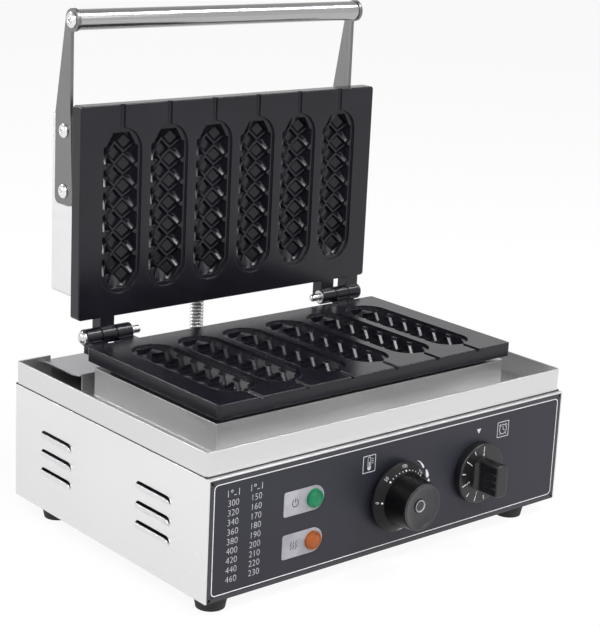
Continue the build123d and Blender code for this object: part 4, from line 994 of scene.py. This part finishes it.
# Two screws in each arm.
ARM_SCREW_X, ARM_SCREW_Y, ARM_SCREW_Z = 148.2, 135.4, 325.7
ARM_SCREW_DROP = -50.9
ARM_SCREW_RINGS = (
    (2.5, 0.0), (2.5, 6.0), (6.0, 6.0), (6.2, 6.3), (6.2, 6.7), (5.8, 7.5), (4.8, 8.3), (3.4, 8.8),
    (1.8, 9.0), (0.3, 9.0),
)
ARM_CROSS_X = 157.3
arm_heads = []
for side, facing in ((-1, "-X"), (1, "X")):
    foot = (side * ARM_SCREW_X, ARM_SCREW_Y, ARM_SCREW_Z)
    head = turned("arm_screw", foot, facing, ARM_SCREW_RINGS, sides=40)
    top = (side * ARM_CROSS_X, ARM_SCREW_Y, ARM_SCREW_Z)
    for arm in cross_tool(top, facing, reach=3.2, width=1.3, depth=1.9):
        cut(head, arm)
    arm_heads += [head, copy_of(head, (0, 0, ARM_SCREW_DROP))]
fit(joined("arm_screws_domed", arm_heads), bright_steel, "lid", "steel_bright", "arm_screws")

# Four screws through the housing's back into its posts.
LID_SCREW_X, LID_SCREW_Y, LID_SCREW_Z = -136.0, 149.3, 330.5
LID_SCREW_APART, LID_SCREW_DROP = 272.0, -135.5
LID_SCREW_RINGS = (
    (2.0, 0.0), (2.0, 9.2), (3.9, 9.2), (4.0, 9.4), (4.0, 9.9), (3.6, 10.6), (2.7, 11.15), (1.4, 11.4),
    (0.3, 11.4),
)
LID_CROSS_Y = 160.8
head = turned("lid_screw", (LID_SCREW_X, LID_SCREW_Y, LID_SCREW_Z), "Y", LID_SCREW_RINGS, sides=32)
for arm in cross_tool((LID_SCREW_X, LID_CROSS_Y, LID_SCREW_Z), "Y", reach=2.1, width=0.9, depth=1.4):
    cut(head, arm)
lid_heads = [head]
for shift_x, shift_z in ((0, LID_SCREW_DROP), (LID_SCREW_APART, 0), (LID_SCREW_APART, LID_SCREW_DROP)):
    lid_heads.append(copy_of(head, (shift_x, 0, shift_z)))
fit(joined("lid_screws_domed", lid_heads), bright_steel, "lid", "steel_bright", "lid_screws")

# One socket bolt in each end of the handle's tube.
BOLT_X, BOLT_Y, BOLT_Z = 140.2, 125.4, 417.8
BOLT_RINGS = (
    (4.0, 0.0), (4.0, 14.0), (6.6, 14.0), (6.8, 14.2), (6.8, 14.9), (6.4, 15.6), (5.5, 16.2),
    (4.4, 16.5), (3.5, 16.6), (0.3, 16.6),
)
SOCKET_X = 158.0
SOCKET_RINGS = ((2.9, 0.0), (2.9, 3.2), (2.6, 3.4), (0.3, 4.0))
bolts = []
for side, facing, inward in ((-1, "-X", "X"), (1, "X", "-X")):
    bolt = turned("handle_bolt", (side * BOLT_X, BOLT_Y, BOLT_Z), facing, BOLT_RINGS, sides=48)
    tool = turned("socket", (side * SOCKET_X, BOLT_Y, BOLT_Z), inward, SOCKET_RINGS, sides=6)
    cut(bolt, tool)
    bolts.append(bolt)
fit(joined("handle_bolts_domed", bolts), bright_steel, "lid", "steel_bright", "handle_bolts")


# Floor, light and camera.
# A pale studio floor, soft panel lights and narrow strips round the object, and the camera at the
# picture's viewing angle.
deselect()
bpy.ops.mesh.primitive_plane_add(size=12.0, location=(0, 0, 0))
floor = bpy.context.object
floor.name = "floor"
settle(floor)
floor_paint = start_finish(
    "floor_paint", (0.93, 0.93, 0.93), metallic=0.0, roughness=0.7, Specular_IOR_Level=0.0)
path = add(floor_paint, "LightPath", {})
seen = add(floor_paint, "Math", {0: path.outputs["Is Camera Ray"], 1: 0.9}, operation="MULTIPLY")
mirrored = add(floor_paint, "Math", {0: path.outputs["Is Glossy Ray"], 1: 0.65}, operation="MULTIPLY")
share = add(floor_paint, "Math", {0: seen.outputs[0], 1: mirrored.outputs[0]}, operation="MAXIMUM")
glow = add(floor_paint, "Emission", {"Color": (1, 1, 1, 1), "Strength": 1.0})
both = add(floor_paint, "MixShader", {
    0: share.outputs[0], 1: shader_of(floor_paint).outputs[0], 2: glow.outputs[0],
})
feed(floor_paint, floor_paint.node_tree.nodes["Material Output"], {"Surface": both.outputs[0]})
floor.data.materials.append(floor_paint)

world = bpy.data.worlds.new("studio")
bpy.context.scene.world = world
world.use_nodes = True
place = add(world, "TexCoord", {})
parts = add(world, "SeparateXYZ", {0: place.outputs["Generated"]})
fade = tones(world, parts.outputs["Z"], [(0.0, (1, 1, 1)), (0.9, (0.45, 0.45, 0.46))])
path = add(world, "LightPath", {})
white = add(world, "Mix", {0: path.outputs["Is Camera Ray"], 6: fade, 7: (1, 1, 1, 1)}, data_type="RGBA")
lit = add(world, "Math", {
    0: path.outputs["Is Camera Ray"], 1: path.outputs["Is Glossy Ray"],
}, operation="MAXIMUM")
level = add(world, "MapRange", {"Value": lit.outputs[0], "To Min": 0.75, "To Max": 1.0})
feed(world, world.node_tree.nodes["Background"], {
    "Color": white.outputs[2], "Strength": level.outputs["Result"],
})


def soft_light(name, place, target, size, power):
    """Soft panel light aimed at a point."""
    lamp = bpy.data.lights.new(name, "AREA")
    lamp.shape = "RECTANGLE"
    lamp.size, lamp.size_y = size
    lamp.energy = power
    holder = bpy.data.objects.new(name, lamp)
    bpy.context.collection.objects.link(holder)
    holder.location = place
    way = Vector(target) - Vector(place)
    holder.rotation_euler = way.to_track_quat("-Z", "Y").to_euler()


soft_light("left_softbox", (-2.2, -0.9, 1.5), (0, 0, 0.2), (1.6, 1.4), 15.0)
soft_light("front_softbox", (0.9, -2.4, 1.9), (0, 0, 0.15), (1.6, 1.2), 10.0)
soft_light("high_strip", (-1.0, -1.5, 1.9), (0, 0, 0.2), (1.1, 0.3), 22.0)
soft_light("top_strip", (0.7, -0.7, 1.7), (0, 0, 0.2), (0.9, 0.25), 13.0)
soft_light("rear_left_softbox", (-1.95, 1.4, 0.5), (0, 0, 0.15), (0.9, 0.45), 9.0)
soft_light("right_edge_strip", (1.5, -0.7, 1.8), (0, 0, 0.15), (0.9, 0.1), 9.0)
soft_light("rear_edge_strip", (-0.6, 1.7, 1.6), (0, 0, 0.15), (0.9, 0.1), 9.0)

CAMERA_PLACE = (-0.91181, -1.04993, 0.56568)
CAMERA_RIGHT = Vector((0.75698387, -0.65160246, 0.04888415))
CAMERA_DOWN = Vector((-0.12869453, -0.222017, -0.96651238))
CAMERA_FORWARD = Vector((0.64063495, 0.72534315, -0.25192096))
camera_data = bpy.data.cameras.new("camera")
camera = bpy.data.objects.new("camera", camera_data)
bpy.context.collection.objects.link(camera)
camera_data.sensor_width = 36.0
camera_data.lens = 97.68
camera_data.shift_x = -0.0304
camera_data.shift_y = -0.0430
camera_data.clip_end = 50.0
turn = Matrix((CAMERA_RIGHT, -CAMERA_DOWN, -CAMERA_FORWARD)).transposed().to_4x4()
camera.matrix_world = Matrix.Translation(CAMERA_PLACE) @ turn
bpy.context.scene.camera = camera
bpy.context.scene.view_settings.view_transform = "Standard"
